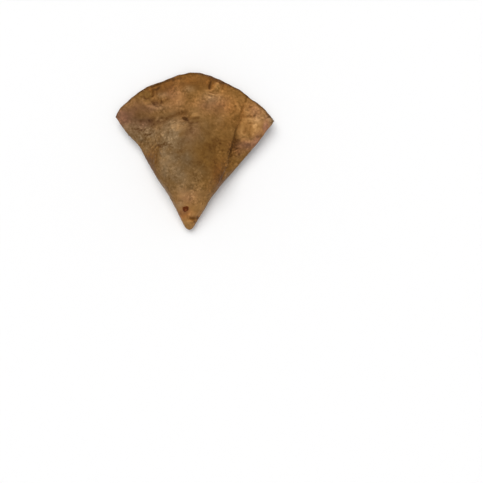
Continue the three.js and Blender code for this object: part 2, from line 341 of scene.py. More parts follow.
def reach_to(across, along):
    return lerp(POINT_REACH, BRIM_REACH(across), along)


def plan(across, along, setback=0):
    """Where a point of the dough is, seen from above."""
    left, right = reach_to(0, along), reach_to(1, along)
    left_angle, right_angle = LEFT_SIDE(left) * bluntness(left), RIGHT_SIDE(right) * bluntness(right)
    angle = np.radians(lerp(left_angle, right_angle, across))
    reach = reach_to(across, along) - setback
    return APEX[0] + reach * np.sin(angle), APEX[1] + reach * np.cos(angle)


def lumps(x, y):
    rise = np.zeros(np.shape(x))
    for wavelength, heading, shift, height in LUMPS:
        run = x * math.cos(math.radians(heading)) + y * math.sin(math.radians(heading))
        rise += height * np.sin(2 * math.pi * run / wavelength + math.radians(shift))
    return rise


def relief(x, y):
    """Rise of the front's lumps, creases, ridges and large blisters."""
    rise = lumps(x, y)
    for line, width, height in FOLDS:
        rise += height * near_line(x, y, line, width)
    for (bx, by), radius, height in BLISTERS:
        d = np.hypot(x - bx, y - by) / radius
        rise += height * np.clip(1 - d * d, 0, 1) ** DOME_SOFTNESS
    return rise


def inside(across, along):
    """0 at the outline, 1 well inside it, where the relief may have its full height."""
    from_side = smoothstep(np.minimum(across, 1 - across), 0, RELIEF_STARTS)
    from_point = smoothstep(along, 0, RELIEF_STARTS)
    return from_side * from_point * lerp(1, BRIM_RELIEF, smoothstep(along, *BRIM_CALMS))


def fullness(across, along):
    """How full the cone is: 0 at its folded sides, 1 on the crest of the pillow."""
    skewed = across ** (math.log(0.5) / math.log(PILLOW_CREST))
    spread = np.clip(1 - np.abs(2 * skewed - 1) ** PILLOW_SHOULDERS, 0, 1)
    softness = lerp(*PILLOW_SLOPES, smoothstep(along, *PILLOW_FLATTENS))
    thinning = 1 - smoothstep(along, FILLING_THINS(across), FILLING_ENDS(across))
    return spread**softness * PILLOW_RIDGE(along) * thinning


class Dough:
    """Heights of the dough's sheets, in millimetres, for the sizes that the user chose."""

    def __init__(self, sizes):
        self.sheet = sizes.layer / MM
        self.fold_radius = sizes.fold_radius / MM
        self.seam_depth = sizes.seam_depth / MM
        self.pillow_top = sizes.pillow_top / MM
        self.pillow_under = sizes.pillow_under / MM
        self.puff = sizes.brim_puff / MM
        self.sides_height = sizes.sides_height / MM
        self.point_height = sizes.point_height / MM

    def seam(self, across, along):
        """Height of the seam between the back layer and what lies on it."""
        sides = lerp(self.point_height, self.sides_height, smoothstep(along, *SIDES_RISE))
        return lerp(sides, BRIM_HEIGHT(across), smoothstep(along, *BRIM_TAKES_OVER))

    def layer(self, across, along):
        """One layer's thickness, rounded off where the sheet turns round the sides and the point."""
        to_side = np.minimum(across, 1 - across) * reach_to(across, along) * WIDTH_PER_REACH
        return self.sheet * quarter_round(to_side, self.fold_radius) * quarter_round(along, POINT_ROUND)

    def middle(self, across, along, covered):
        """The layer between front and back, which ends at the front flap's cut edge."""
        on_pillow = smoothstep(across, *HIDDEN_EDGE_ON_PILLOW)
        on_brim = smoothstep(across, *HIDDEN_EDGE_ON_BRIM)
        begins = lerp(on_pillow, on_brim, smoothstep(along, *HIDDEN_EDGE_SHIFTS))
        return self.sheet * begins * covered * smoothstep(along, *FLAP_STARTS)

    def brim_puff(self, across, along):
        return self.puff * hump(along, *PUFF_ALONG) * hump(across, *PUFF_ACROSS)

    def front(self, across, along, covered):
        x, y = plan(across, along)
        sheets = self.layer(across, along) + self.middle(across, along, covered)
        filling = self.pillow_top * fullness(across, along) + self.brim_puff(across, along)
        return self.seam(across, along) + sheets + filling + relief(x, y) * inside(across, along)

    def underside(self, across, along):
        x, y = plan(across, along)
        filling = self.pillow_under * fullness(across, along) ** UNDER_SLOPES
        sagging = filling + lumps(x, y) * inside(across, along)
        return np.maximum(self.seam(across, along) - self.layer(across, along) - sagging, 0)


# ---------------------------------------------------------------- the crust as one closed skin

FRONT_COLUMNS = 240  # cells across the front; the underside has half as many
SKIN_ROWS = 250  # rows of cells from the point to the brim
RIM_ROWS = 16  # rows from the brim's outer corner into its seam
FRONT_EDGE_ROWS = 8  # rim rows on the front layer's cut edge
GROOVE_ROW = 9  # rim row between the front and middle layers
LAST_ROW = 0.99  # share along of the last row before the brim's edge
FLAP_COLUMN = 186  # the first column of the front flap's cut edge

# How closely the rows crowd at the point, and the columns at the folded sides: the smaller, the closer.
POINT_CROWDING = 0.05
LEFT_CROWDING = 0.06
RIGHT_CROWDING = 0.15

# The front flap's cut edge, column by column: mm to the right of the edge, share of the step's height.
FLAP_STEP = [
    (-1.7, 1), (-1, 0.98), (-0.5, 0.93), (-0.1, 0.8), (0.15, 0.6), (0.3, 0.36), (0.42, 0.14), (0.7, 0.02),
    (1.3, 0),
]
FLAP_PRESSED = (0.7, 0.92)  # shares along between which the flap is pressed into the brim
PRESSED_STEP = 3.5  # how many times as wide as elsewhere its step is there

EDGE_ROUND = 0.7  # mm, how far a cut edge bulges
EDGE_TOP = math.radians(72)  # where a cut edge's round starts, up from its middle
BACK_STANDS_OUT = 0.3  # mm
GROOVE_DEPTH = 0.8  # depth of the groove under the front layer, as a share of the seam's
CORNER_CLOSES = 0.04  # share across over which the brim's layers become one at its corners
CORNER_DRAWS_BACK = (0.96, 1)  # shares along between which the skin draws back to the brim's outer corner

# Unevenness along the brim: how much, wavelength in mm, shift. It is a share of a layer's thickness, and mm
# of each layer's setback.
BRIM_LENGTH = 150
UNEVEN_THICKNESS = (0.12, 23, 0.3)
UNEVEN_FRONT = (0.35, 13, 0.1)
UNEVEN_MIDDLE = (0.3, 17, 0.6)
UNEVEN_BACK = (0.3, 19, 0.8)


def wobble(across, amount, wavelength, shift):
    """A long wave along the brim, with a short one on it."""
    run = across * BRIM_LENGTH / wavelength
    long_wave = np.sin(2 * math.pi * (run + shift))
    short_wave = np.sin(2 * math.pi * (run * 2.27 + shift * 3.1))
    return amount * (long_wave * 0.6 + short_wave * 0.4)


def front_columns(along):
    """Share across and cover under the front flap, for every column of the front, row by row."""
    edge = FLAP_EDGE(along)[:, None]
    width = (WIDTH_PER_REACH * reach_to(0.5, along))[:, None]
    room = np.minimum(1, (1 - edge) * width / 2)
    spread = lerp(1, PRESSED_STEP, smoothstep(along, *FLAP_PRESSED))[:, None]
    offsets, cover = np.array(FLAP_STEP, dtype=float).T
    step = edge + offsets[None, :] * room * spread / width
    from_left = short_at_start(np.linspace(0, 1, FLAP_COLUMN, endpoint=False), LEFT_CROWDING)[None, :]
    left = step[:, :1] * from_left
    right_count = FRONT_COLUMNS + 1 - FLAP_COLUMN - len(FLAP_STEP)
    from_right = short_at_start(np.linspace(1, 0, right_count + 1)[1:], RIGHT_CROWDING)[None, :]
    right = 1 - (1 - step[:, -1:]) * from_right
    across = np.concatenate((left, step, right), axis=1)
    covered = np.concatenate((np.ones(FLAP_COLUMN), cover, np.zeros(right_count)))
    return across, np.broadcast_to(covered, across.shape)


class Skin:
    """Grid points of the samosa's closed skin. Rows run round the cone, from the point to the brim's seam."""

    def __init__(self, dough):
        self.dough = dough
        self.columns = FRONT_COLUMNS + FRONT_COLUMNS // 2
        self.rows = SKIN_ROWS + RIM_ROWS
        row = np.arange(self.rows + 1)
        below_brim = LAST_ROW * short_at_start(row / (SKIN_ROWS - 1), POINT_CROWDING)
        self.along = np.where(row < SKIN_ROWS, below_brim, 1)
        self.rim_row = np.maximum(row - SKIN_ROWS, 0)
        column = np.arange(self.columns + 1)
        self.on_front = column <= FRONT_COLUMNS
        front_index = np.where(self.on_front, column, FRONT_COLUMNS - 2 * (column - FRONT_COLUMNS))
        across, covered = front_columns(self.along)
        # the front's last row joins the underside's, which has half as many points
        across[-1, 1::2] = across[-1, 0:-1:2]
        self.across = across[:, front_index]
        self.covered = covered[:, front_index]

    def openness(self, across):
        """0 at the brim's corners, where the layers are one, 1 elsewhere."""
        return quarter_round(np.minimum(across, 1 - across), CORNER_CLOSES)

    def edge(self, across, setback, centre, thickness, turn):
        """A point on a layer's rounded cut edge. Turn goes from -1 at its lower corner to 1 at its upper."""
        swell = EDGE_ROUND * self.openness(across)
        angle = turn * EDGE_TOP
        height = centre + thickness / 2 * np.sin(angle) / math.sin(EDGE_TOP)
        return setback + swell * (1 - np.cos(angle)), height

    def rim(self, across, covered, rim_row, on_front):
        """Setback and height of a row on the brim's cut edges."""
        dough, open_ = self.dough, self.openness(across)
        thick = dough.layer(across, 1) * (1 + wobble(across, *UNEVEN_THICKNESS))
        middle = dough.middle(across, 1, covered)
        share = middle / dough.sheet
        seam = dough.seam(across, 1)
        front = FRONT_SETBACK(across) + open_ * wobble(across, *UNEVEN_FRONT)
        second = MIDDLE_SETBACK(across) + open_ * wobble(across, *UNEVEN_MIDDLE)
        back = open_ * wobble(across, *UNEVEN_BACK) - BACK_STANDS_OUT * open_
        deep = np.maximum(front, second) + dough.seam_depth * open_
        if rim_row == RIM_ROWS:
            return deep, seam
        if not on_front:
            turn = -1 + 2 * rim_row / RIM_ROWS
            return self.edge(across, back, seam - thick / 2, thick, turn)
        if rim_row <= FRONT_EDGE_ROWS:
            turn = 1 - 2 * rim_row / FRONT_EDGE_ROWS
            return self.edge(across, front, seam + middle + thick / 2, thick, turn)
        if rim_row == GROOVE_ROW:
            return lerp(deep, front + GROOVE_DEPTH * dough.seam_depth * open_, share), seam + middle
        turn = 1 - 2 * (rim_row - GROOVE_ROW) / (RIM_ROWS - GROOVE_ROW)
        out, height = self.edge(across, second, seam + middle / 2, middle, turn)
        return lerp(deep, out, share), height

    def places(self):
        """Every grid point in millimetres, row by row."""
        along = np.broadcast_to(self.along[:, None], self.across.shape)
        front = np.broadcast_to(self.on_front[None, :], self.across.shape)
        z = np.where(
            front,
            self.dough.front(self.across, along, self.covered),
            self.dough.underside(self.across, along),
        )
        rounding = EDGE_ROUND * self.openness(self.across) * (1 - math.cos(EDGE_TOP))
        corner = np.where(front, FRONT_SETBACK(self.across), 0) + rounding
        setback = corner * smoothstep(along, *CORNER_DRAWS_BACK)
        for i in np.flatnonzero(self.rim_row):
            for on_front in (True, False):
                side = self.on_front == on_front
                across, covered = self.across[i, side], self.covered[i, side]
                setback[i, side], z[i, side] = self.rim(across, covered, self.rim_row[i], on_front)
        x, y = plan(self.across, along, setback)
        return np.stack((x, y, z), axis=-1)


# ---------------------------------------------------------------- fine relief and browning of the crust

# Finer creases, cracks, wrinkles and streaks in the front: a line in X and Y, its width, its rise and its
# browning. In a few marks noted below the darkening is partly painted shade, and in others the paling is
# partly painted highlight.
MARKS = [
    # the main crease, darkened partly as painted shade, and the streaks that run out of the burst blister
    (MAIN_CREASE, 7, 0, 0.11),
    ([(-64, 28.6), (-54, 26.6), (-44, 26), (-34, 26.2), (-26, 27.4)], 4.4, -0.2, 0.1),
    ([(-30, 28.6), (-24, 29), (-18, 31.4), (-12, 33.2), (-4, 33.6)], 3, -0.3, 0.18),
    ([(-6.8, 26.5), (-3.3, 23.3), (-1.5, 20)], 2.8, -0.3, 0.22),
    ([(-4, 24), (-3, 18), (-4.5, 12)], 5, 0, 0.12),
    ([(-6, 27.6), (0, 27.4), (6, 28.4)], 2.6, -0.3, 0.2),
    ([(-4, 24), (2, 23.6), (10, 24.6)], 2.6, -0.2, 0.14),
    # pale marks on the ridge and on the crease's edge: partly pale skin and partly painted highlight
    ([(-14.2, 24.4), (-13.7, 16.5)], 1.6, 0.25, -0.16),
    ([(-35.6, 26), (-33.5, 28), (-32.5, 30.6)], 2.2, 0.3, -0.4),
    ([(-31.5, 26.6), (-28.4, 28.2)], 1.8, 0.3, -0.36),
    # left side: a band along the outline, browner partly from the fold and partly as painted shade where it
    # turns away
    ([(-70, 28), (-59.5, 15.5), (-49, 3.5), (-42, -9), (-32, -26)], 6, 0, 0.08),
    # left end of the brim
    ([(-50.4, 49.2), (-46.7, 48), (-43.1, 46.2), (-39.2, 47.8)], 1.9, -0.5, 0.34),
    ([(-38.2, 47.6), (-37.4, 50.6), (-37.6, 55.6)], 1.9, -0.4, 0.38),
    ([(-34.6, 55), (-34.4, 49.6)], 1.4, -0.2, 0.2),
    ([(-38.8, 55.2), (-35, 55.2), (-31.4, 57)], 2.2, -0.3, 0.4),
    ([(-32, 60.6), (-24, 63.6), (-12, 65)], 2.6, -0.3, 0.34),
    ([(-39.4, 43.2), (-35.2, 43)], 1.5, -0.3, 0.24),
    ([(-30.2, 46), (-30, 42.6)], 1.6, -0.3, 0.32),
    ([(-37.6, 41.4), (-34.4, 39.8), (-31.8, 39.8)], 1.6, -0.4, 0.28),
    ([(-27, 45), (-23.4, 45.6)], 1.5, -0.2, 0.2),
    ([(-46.4, 45.4), (-44.6, 42), (-41.8, 39.6), (-36.8, 38), (-31.4, 36.2)], 2.6, 0.5, -0.24),
    # top of the brim
    # a crack, darkened in its depth partly as painted shade
    ([(14, 63.8), (14, 61), (13.6, 58.6), (13.4, 55.8), (13, 53)], 2.1, -0.8, 0.5),
    ([(10.4, 64), (16, 63.6), (21, 62)], 1.8, -0.2, 0.14),
    ([(24, 60.6), (25.6, 58.4), (25, 55)], 1.7, -0.25, 0.1),
    ([(18.6, 60.6), (17.9, 57.6), (17.6, 54.8)], 1.5, 0.35, -0.2),
    ([(9.6, 52.6), (14.8, 53), (18.4, 55)], 1.8, 0.4, -0.26),
    ([(22.4, 52.4), (26.4, 53.2)], 1.8, 0.3, -0.26),
    ([(11, 50.6), (15, 49.6), (20, 48.8), (24, 50)], 1.9, 0.4, -0.32),
    ([(11.6, 47.4), (14, 46.6), (18, 47)], 1.7, 0.4, -0.28),
    ([(12, 51.9), (17.5, 49.9), (22, 50.6)], 1.4, -0.3, 0.2),
    ([(11.5, 49), (16, 48.2), (21, 47)], 1.4, -0.3, 0.16),
    # right of the brim and the flap
    ([(45.4, 44.5), (42.5, 37), (39.4, 28), (37, 18)], 6.4, 0, 0.16),
    ([(47.4, 50), (44.8, 43), (42.8, 38), (41.6, 33)], 2.6, -0.2, 0.18),
    ([(31.5, 40.6), (31.4, 36.9)], 1.5, 0.2, -0.16),
    ([(41.8, 30.4), (47.7, 30.2), (54.9, 32), (59, 35.4)], 2.4, -0.5, 0.26),
    ([(63, 33), (66, 30), (70, 29.6)], 2.2, -0.4, 0.34),
    ([(44.5, 27), (49, 28.8), (55, 27.8), (59, 23.4)], 2.8, 0.2, -0.12),
    ([(41, 17.5), (41.8, 11.5), (45.5, 7.6), (52, 7)], 3.4, 0.2, -0.18),
    ([(60.5, 23.5), (61, 17), (57, 10.6)], 2.4, -0.2, 0.16),
    ([(49.6, 25), (49.6, 20), (49, 13.4)], 2.2, -0.15, 0.12),
    ([(45.8, 21.4), (45.4, 16)], 1.5, -0.15, 0.16),
    # pillow
    ([(-46.2, 14.6), (-41.6, 13.5), (-37.4, 14.8)], 2, -0.45, 0.34),
    ([(-48.8, 5.6), (-45.6, 9.6), (-43.2, 12.1)], 2.2, -0.3, 0.2),
    ([(-52, 20), (-48.6, 18.4), (-45.5, 19.4)], 2, -0.4, 0.18),
    ([(-34, 8), (-32.4, 3), (-28, 1.6), (-24, 5)], 2.4, -0.3, 0.15),
    ([(18.5, 5.5), (20.3, -1.8), (26, -9)], 1.8, 0.35, -0.06),
    ([(12, -11), (6.5, -15.5), (1.5, -21.3), (1.3, -28)], 1.8, 0.35, -0.07),
    # the fold at the end of the flap
    ([(20.2, -7.4), (26.2, -11.8)], 1.4, 0.25, -0.1),
    ([(26.4, -11), (28.6, -9.4)], 1.2, 0.3, -0.18),
    ([(26.8, -13.6), (24, -22.6), (20.4, -30.8)], 2, -0.2, 0.16),
    ([(25.4, -21), (24, -28)], 3, -0.15, 0.12),
    ([(29, -17), (26.6, -24.5), (23, -31.5)], 1.8, 0.3, -0.1),
    # point
    ([(-5, -61.2), (-2.4, -60.6), (0.8, -61.2)], 3.6, -0.35, 0.42),
    ([(1.6, -59), (3.6, -60.8)], 2.2, -0.25, 0.4),
    ([(3, -62.6), (3.4, -64.8)], 2.4, -0.25, 0.42),
    ([(-1, -63.4), (0.4, -65)], 1.8, -0.2, 0.3),
]

# Single blisters, pits and stains in the front: centre, radii and turn in degrees, then rise and browning
# of the middle, and of the rim. The burst blister's pit is partly painted shade, and a few pale spots, noted
# below, are partly painted highlight.
SPOTS = [
    # the burst blister below the main crease, with its pit darkened partly as painted shade
    ((-8.4, 27.6), (3, 1.7), -37, -0.7, 0.8, 0.2, 0.06),
    ((0.8, 30.6), (3.6, 2), 0, 0.1, -0.14, 0, 0),
    # brim
    ((-43.9, 51.4), (4.8, 4.2), 0, 0.1, 0.1, 0.1, 0),
    ((-34.8, 43.4), (4.4, 3.4), 0, -0.15, 0.1, 0, 0),
    ((-28.5, 50.6), (5.6, 2.8), 0, 0, -0.06, 0.1, 0),
    ((-14, 48.5), (4, 7), 0, 0, -0.1, 0, 0),
    ((16.4, 60.6), (2, 3.8), 0, -0.1, 0.08, 0, 0),
    ((20.3, 57.4), (2.3, 4.6), 0, 0.25, -0.08, 0.1, 0.04),
    ((20.3, 59.8), (1.4, 1.7), 0, 0.1, -0.14, 0, 0),
    ((20.4, 53), (2.6, 1), 0, -0.15, 0.06, 0, 0),
    ((33.4, 36.7), (6.8, 6.2), 20, -0.45, 0.04, 0.45, -0.1),
    ((30.9, 36.2), (1.4, 1.2), 0, -0.3, 0.16, 0, 0),
    ((26.2, 40), (1.2, 1.9), 20, -0.3, 0.16, 0, 0),
    ((39, 38.6), (2, 3.4), 10, 0.2, -0.12, 0, 0),
    # flap
    ((49.5, 39.6), (5.2, 5.4), 0, -0.2, 0, 0.35, -0.08),
    ((49.7, 39.4), (1.8, 1.6), 0, -0.4, 0.26, 0, 0),
    ((47.4, 41.8), (2.4, 2), 0, 0.1, -0.1, 0, 0),
    ((53.2, 33), (1.4, 1.6), 0, 0, -0.1, 0, 0),
    ((38, 1), (3.8, 1.8), 0, -0.1, 0.14, 0, 0),
    ((55.5, 37.6), (2.6, 2.2), 30, 0.2, -0.1, 0, 0.08),
    ((61, 35), (2.2, 1.8), 0, 0.3, -0.1, 0, 0.08),
    ((64, 30.5), (1.8, 2.2), 0, 0.3, -0.1, 0, 0.08),
    ((66.5, 26.6), (3, 2.4), -30, 0.2, -0.04, 0, 0.12),
    ((50.6, 18.6), (9.6, 9.8), 0, 0, 0.02, 0.2, -0.03),
    ((47, 20.4), (3.6, 6.4), 10, 0, 0.1, 0, 0),
    ((44, 16), (1.6, 1.4), 0, -0.1, 0.2, 0, 0),
    ((50, 24.4), (2.4, 1.2), 0, -0.1, 0.2, 0, 0),
    ((49.6, 13.4), (1.8, 2.4), 0, -0.1, 0.16, 0, 0),
    # the pale spots on the big blister's right are partly thin pale skin and partly painted highlight
    ((53.7, 22), (2.4, 2.8), -20, 0.3, -0.3, 0, 0.08),
    ((56, 18), (2.4, 3.4), -20, 0.1, -0.14, 0, 0.06),
    ((56.4, 12.2), (2, 1.6), 0, -0.3, 0.24, 0, 0),
    ((46, 8.2), (6, 2.8), -10, 0.15, -0.1, 0, 0),
    ((38.8, -1.4), (1.6, 1.2), 30, -0.2, 0.28, 0, 0),
    ((39.8, -3.6), (1.2, 1.7), 0, -0.2, 0.26, 0, 0),
    ((36, -1.8), (1.2, 1.2), 0, 0.2, -0.08, 0, 0),
    ((37.3, -4.6), (1.1, 1.4), 0, 0.2, -0.16, 0, 0),
    ((29, -13.8), (1.7, 1.9), 0, 0.3, -0.22, -0.1, 0.12),
    # pillow
    ((-29.3, 8.5), (3.7, 3.9), 0, -0.15, 0.06, 0.35, -0.12),
    ((-24.9, -1.6), (3.6, 2.8), 20, -0.1, 0.02, 0.3, -0.12),
    ((-27, 4.3), (3.2, 1.7), 10, -0.15, 0.16, 0, 0),
    ((-22.6, 1.6), (2.4, 1.7), -30, -0.15, 0.16, 0, 0),
    ((-32, 4), (2.2, 1.5), 20, -0.1, 0.04, 0, 0),
    # pale patches on the pillow's upper left slope: partly dry pale skin and partly painted highlight
    ((-19.3, 18.5), (3.4, 4.6), -10, 0, -0.1, 0, 0),
    ((-20.8, 7.6), (3, 4.8), -20, 0, -0.1, 0, 0),
    ((-15.6, 2.6), (2.6, 3.6), 0, 0, -0.04, 0, 0),
    ((22.8, 22.8), (3.2, 3.8), 0, -0.2, 0.04, 0.3, -0.06),
    ((-0.7, -30.2), (1.3, 1), 30, 0.25, -0.12, 0, 0),
    ((5.3, -34.4), (1.2, 1), -20, 0.25, -0.12, 0, 0),
    # point, and the crust beside the chilli
    ((-7.9, -52.5), (2.9, 2.9), 0, -0.15, 0, 0.14, 0.06),
    ((-9.6, -56.4), (4.2, 2.8), 0, 0, 0.09, 0, 0),
    ((-2.6, -56.4), (4.6, 3), -10, 0.1, -0.1, 0, 0),
    ((-4.8, -58), (1.4, 2), 0, 0.1, -0.1, 0, 0),
    ((-4.8, -63.6), (2.8, 1.6), 0, 0.1, -0.12, 0, 0),
    ((2, -61), (2.4, 2.6), 0, -0.1, 0.06, 0, 0),
]

# Where the skin has shrunk into fine crossing wrinkles: centre, radii along X and Y, amount.
WRINKLED = [
    ((-48, 13), (12, 11), 1.0),
    ((-30, 2), (9, 11), 0.6),
    ((-34, 43), (10, 7), 0.5),
    ((62, 32), (7, 6), 0.7),
    ((38, 4), (6, 7), 0.6),
    ((0, -38), (12, 12), 0.4),
    ((16, 50), (9, 7), 0.4),
]

WRINKLE_NOISE = [(6.5, 2, 101), (4, 2, 113)]  # spacing in mm, octaves, shift
WRINKLE_BREADTH = 0.26  # on the noise's scale of -1 to 1
WRINKLE_MEAN = 0.35  # mean of the crests, which is taken off so that the skin doesn't rise as a whole
WRINKLE_RISE = 0.28  # mm
WRINKLE_PALENESS = 0.24

# Zones of small blisters: centre, radius, how many, largest radius, browning of their tops.
BLISTER_ZONES = [
    ((-46, 14), 15, 40, 1.7, -0.16),
    ((-44, 12), 16, 26, 1.6, 0.16),
    ((-27, 2), 11, 40, 1.9, -0.12),
    ((-31, -18), 14, 34, 1.6, -0.1),
    ((60, 31), 9, 44, 1.8, -0.14),
    ((36, -5), 8, 22, 1.7, 0.14),
    ((36, -5), 8, 20, 1.6, -0.14),
    ((32, 42), 14, 34, 2, -0.1),
    ((22, 52), 10, 18, 1.6, -0.1),
    ((-32, 46), 13, 24, 1.9, -0.08),
    ((0, -34), 16, 40, 1.5, -0.1),
    ((-12, 46), 14, 22, 1.8, -0.08),
    ((0, 0), 62, 90, 1.5, -0.08),
    ((0, 0), 62, 50, 1.3, 0.1),
]

SMALLEST_BLISTER = 0.35  # radius, as a share of the largest in its zone
BLISTER_RISES = (0.08, 0.22)  # least and greatest, as shares of the radius
BLISTER_BROWNINGS = (0.4, 1.3)  # least and greatest, as shares of the browning of its zone's tops
BLISTER_REACH = 1.7  # radii, how far out a small blister and the groove round it go
SMALL_DOME_SOFTNESS = 1.2  # how gently its dome meets the skin
UNDER_BLISTERS = 0.8  # how high they rise in the underside, as a share of the front's

# The groove round a small blister: radii from its centre, breadth in radii, depth as a share of its rise.
RING_AT = 1.1
RING_BREADTH = 0.36
RING_DEPTH = 0.22
RING_BROWNING = 0.05

# Single spots: radii between which their middle ends, and their rim's breadth in radii.
SPOT_ENDS = (0.55, 1.15)
SPOT_RIM = 0.4

# Where the crust has browned (+) or stayed golden (-), and on the pillow's upper left a few paler patches
# that are partly painted highlight: centre, radii along X and Y, amount.
BROWNED = [
    # brim
    ((-13, 63.5), (5, 3), 0.04),
    ((5, 59), (6, 5), 0.07),
    ((-24, 57), (10, 5), 0.12),
    ((4, 56), (18, 8), 0.12),
    ((26, 55), (6, 4), -0.05),
    ((-31, 54), (5, 4), 0.07),
    ((-4, 54), (5, 4), -0.11),
    ((5, 54), (4, 3), 0.04),
    ((16.3, 54), (3, 2.4), -0.06),
    ((-29.6, 49.4), (4, 3), 0.05),
    ((-46, 46), (16, 10), 0.06),
    ((-14, 46), (7, 12), -0.08),
    ((-4, 46), (5, 5), 0.09),
    ((26, 46), (15, 9), -0.14),
    ((29.8, 45.8), (4, 4), 0.06),
    ((-51, 42), (4, 4), 0.04),
    ((-32, 41.5), (3, 3), 0.12),
    ((-28, 38.5), (5, 3), -0.05),
    ((4, 38), (6, 6), -0.06),
    ((32, 37), (5, 4), -0.035),
    ((12, 36), (9, 8), 0.06),
    # left side
    ((-48, 35), (4, 4), 0.05),
    ((-54, 34), (14, 9), 0.1),
    ((-67, 28), (6, 7), -0.06),
    ((-38, 28), (11, 6), 0.1),
    ((-40.4, 27.6), (3.4, 2.4), -0.06),
    ((-58, 20), (4, 3), -0.05),
    ((-51, 18), (9, 5), 0.07),
    ((-39.6, 17.7), (4, 3), 0.05),
    ((-54, 17), (9, 8), 0.1),
    ((-51, 16), (5, 2.6), 0.08),
    ((-56.4, 15.5), (4, 3), -0.08),
    ((-50, 14), (11, 9), 0.06),
    ((-46, 14), (9, 6), 0.03),
    ((-42, 12), (5, 5), -0.04),
    ((-48.5, 11), (6, 3), -0.1),
    ((-33, 2), (9, 9), 0.05),
    ((-37, -0.5), (5, 4), -0.08),
    ((-38, -6), (10, 16), 0.1),
    ((-31, -9), (5, 5), 0.035),
    ((-36, -10), (8, 10), 0.06),
    # pillow
    ((-22, 27.4), (12, 4.5), 0.09),
    ((5, 25), (5, 4), 0.045),
    # (-16, 24), (-14, 18) and (-15, 10): paler patches on the pillow's upper left slope, partly painted
    # highlight
    ((-16, 24), (8, 7), -0.1),
    ((18.5, 21.2), (4, 4), 0.06),
    ((-20.8, 20.5), (4, 4), 0.06),
    ((-26, 19), (10, 6), 0.08),
    ((-14, 18), (5, 5), -0.1),
    ((-22, 17), (5, 4), 0.04),
    ((-15, 10), (4, 7), -0.08),
    ((-3, 10), (6, 6), 0.09),
    ((-13, 9), (12, 7), 0.1),
    ((5, 8), (5, 5), -0.04),
    ((24, 6), (8, 8), 0.12),
    ((-25, 4), (4, 2.5), 0.08),
    ((-12, 2), (5, 6), 0.05),
    ((-26, 1), (12, 6), 0.05),
    ((23, 0), (4, 4), 0.03),
    ((-30, -0.7), (4, 4), 0.08),
    ((16, -2), (14, 24), 0.14),
    ((-4, -6), (16, 18), 0.14),
    ((-24, -8), (7, 7), -0.12),
    ((-3, -9), (5, 5), -0.08),
    ((-21, -12), (8, 9), -0.07),
    ((4, -14), (6, 7), 0.05),
    ((-12, -16), (24, 24), 0.06),
    ((23, -18), (4, 5), -0.035),
    ((24, -24), (10, 10), 0.1),
    ((-26, -25), (5, 5), -0.035),
    ((3, -27), (6, 6), 0.1),
    ((18, -27), (6, 10), -0.06),
    ((-22, -32), (10, 10), 0.04),
    ((-22, -35), (5, 5), 0.035),
    # right side
    ((57, 38), (5, 5), -0.05),
    ((52, 37), (14, 5), -0.03),
    ((37, 35), (3, 4), -0.06),
    ((27, 28), (9, 6), -0.05),
    ((69, 28), (4, 4), -0.09),
    ((52, 24), (13, 16), -0.26),
    ((38, 22), (5, 22), 0.1),
    ((32.5, 20), (4, 6), 0.06),
    ((41, 19), (4, 5), -0.08),
    ((42, 13), (3, 3), 0.06),
    ((35.2, 7.6), (2.4, 3), -0.08),
    ((44, 7), (8, 6), 0.2),
    # point
    ((5, -35), (10, 4), -0.025),
    ((-2, -40), (14, 10), -0.14),
    ((-12, -44), (6, 6), -0.06),
    ((-13, -49), (4, 4), -0.05),
    ((4, -53), (5, 5), -0.06),
    ((-4, -62), (10, 9), -0.28),
]

# Where oil has soaked in (+) or the crust keeps its plain brown (-): centre, radii, amount.
OILED = [
    ((0, 64), (50, 9), 1.0),
    ((-34, 56), (12, 7), 1.4),
    ((-44, 51), (5, 4), -1.2),
    ((-25, 58), (6, 7), 0.8),
    ((-12, 44), (28, 10), 0.35),
    ((32, 34), (20, 18), 0.6),
    ((50, 39), (7, 6), 0.2),
    ((20, 58), (6, 8), 0.6),
    ((20.3, 57.4), (2.6, 5), -1.2),
    ((-2, -60), (8, 5), 0.5),
    ((-9.8, -56.8), (5, 4), 1.4),
    ((24, -14), (8, 20), 0.5),
    ((21, -25), (5, 8), 0.9),
    ((14, -34), (6, 6), 0.3),
    ((14, 60), (4, 7), 0.5),
    ((44, 5), (6, 5), 0.4),
    ((37, 3), (6, 9), 0.8),
    ((-40, -12), (7, 14), 0.5),
    ((-9, 27), (5, 4), 1.2),
]

# Where the crust has dried dull, and on the pillow's upper left slope partly a painted sheen: centre, radii,
# amount.
DRIED_AND_SHEEN = [
    # the pillow's upper left slope: dull dry skin and, in part, painted sheen
    ((-22, 10), (18, 17), 0.75),
    ((-54, 16), (14, 12), 1.6),
    ((-66, 28), (6, 8), 0.4),
    ((-18, -10), (15, 22), 0.7),
    ((-8, -24), (16, 22), 0.4),
    ((4, 18), (14, 16), 0.3),
    ((-37, -6), (7, 14), -0.5),
    ((14, -6), (7, 10), -0.4),
    ((70, 27), (4, 5), 1.5),
    ((-29.5, 50.2), (6, 3), 0.6),
    ((14, 46), (8, 5), 0.5),
    ((-32, 38.5), (9, 3), 0.5),
    ((-4, 54), (5, 4), 0.4),
    ((-20, 30), (12, 6), 0.25),
    ((22, 26), (5, 5), 0.3),
    ((10, -19), (8, 5), 0.25),
    ((58, 30), (10, 7), 0.35),
    ((40, 8), (10, 14), 0.15),
    ((54, 5), (8, 4), 0.2),
    ((-42, 12), (5, 5), 0.4),
    ((-44, 0), (5, 5), 0.3),
    ((-26, -25), (4, 6), 0.25),
    ((-30, -0.7), (4, 4), -0.4),
    ((-13, -49), (4, 4), 0.5),
]

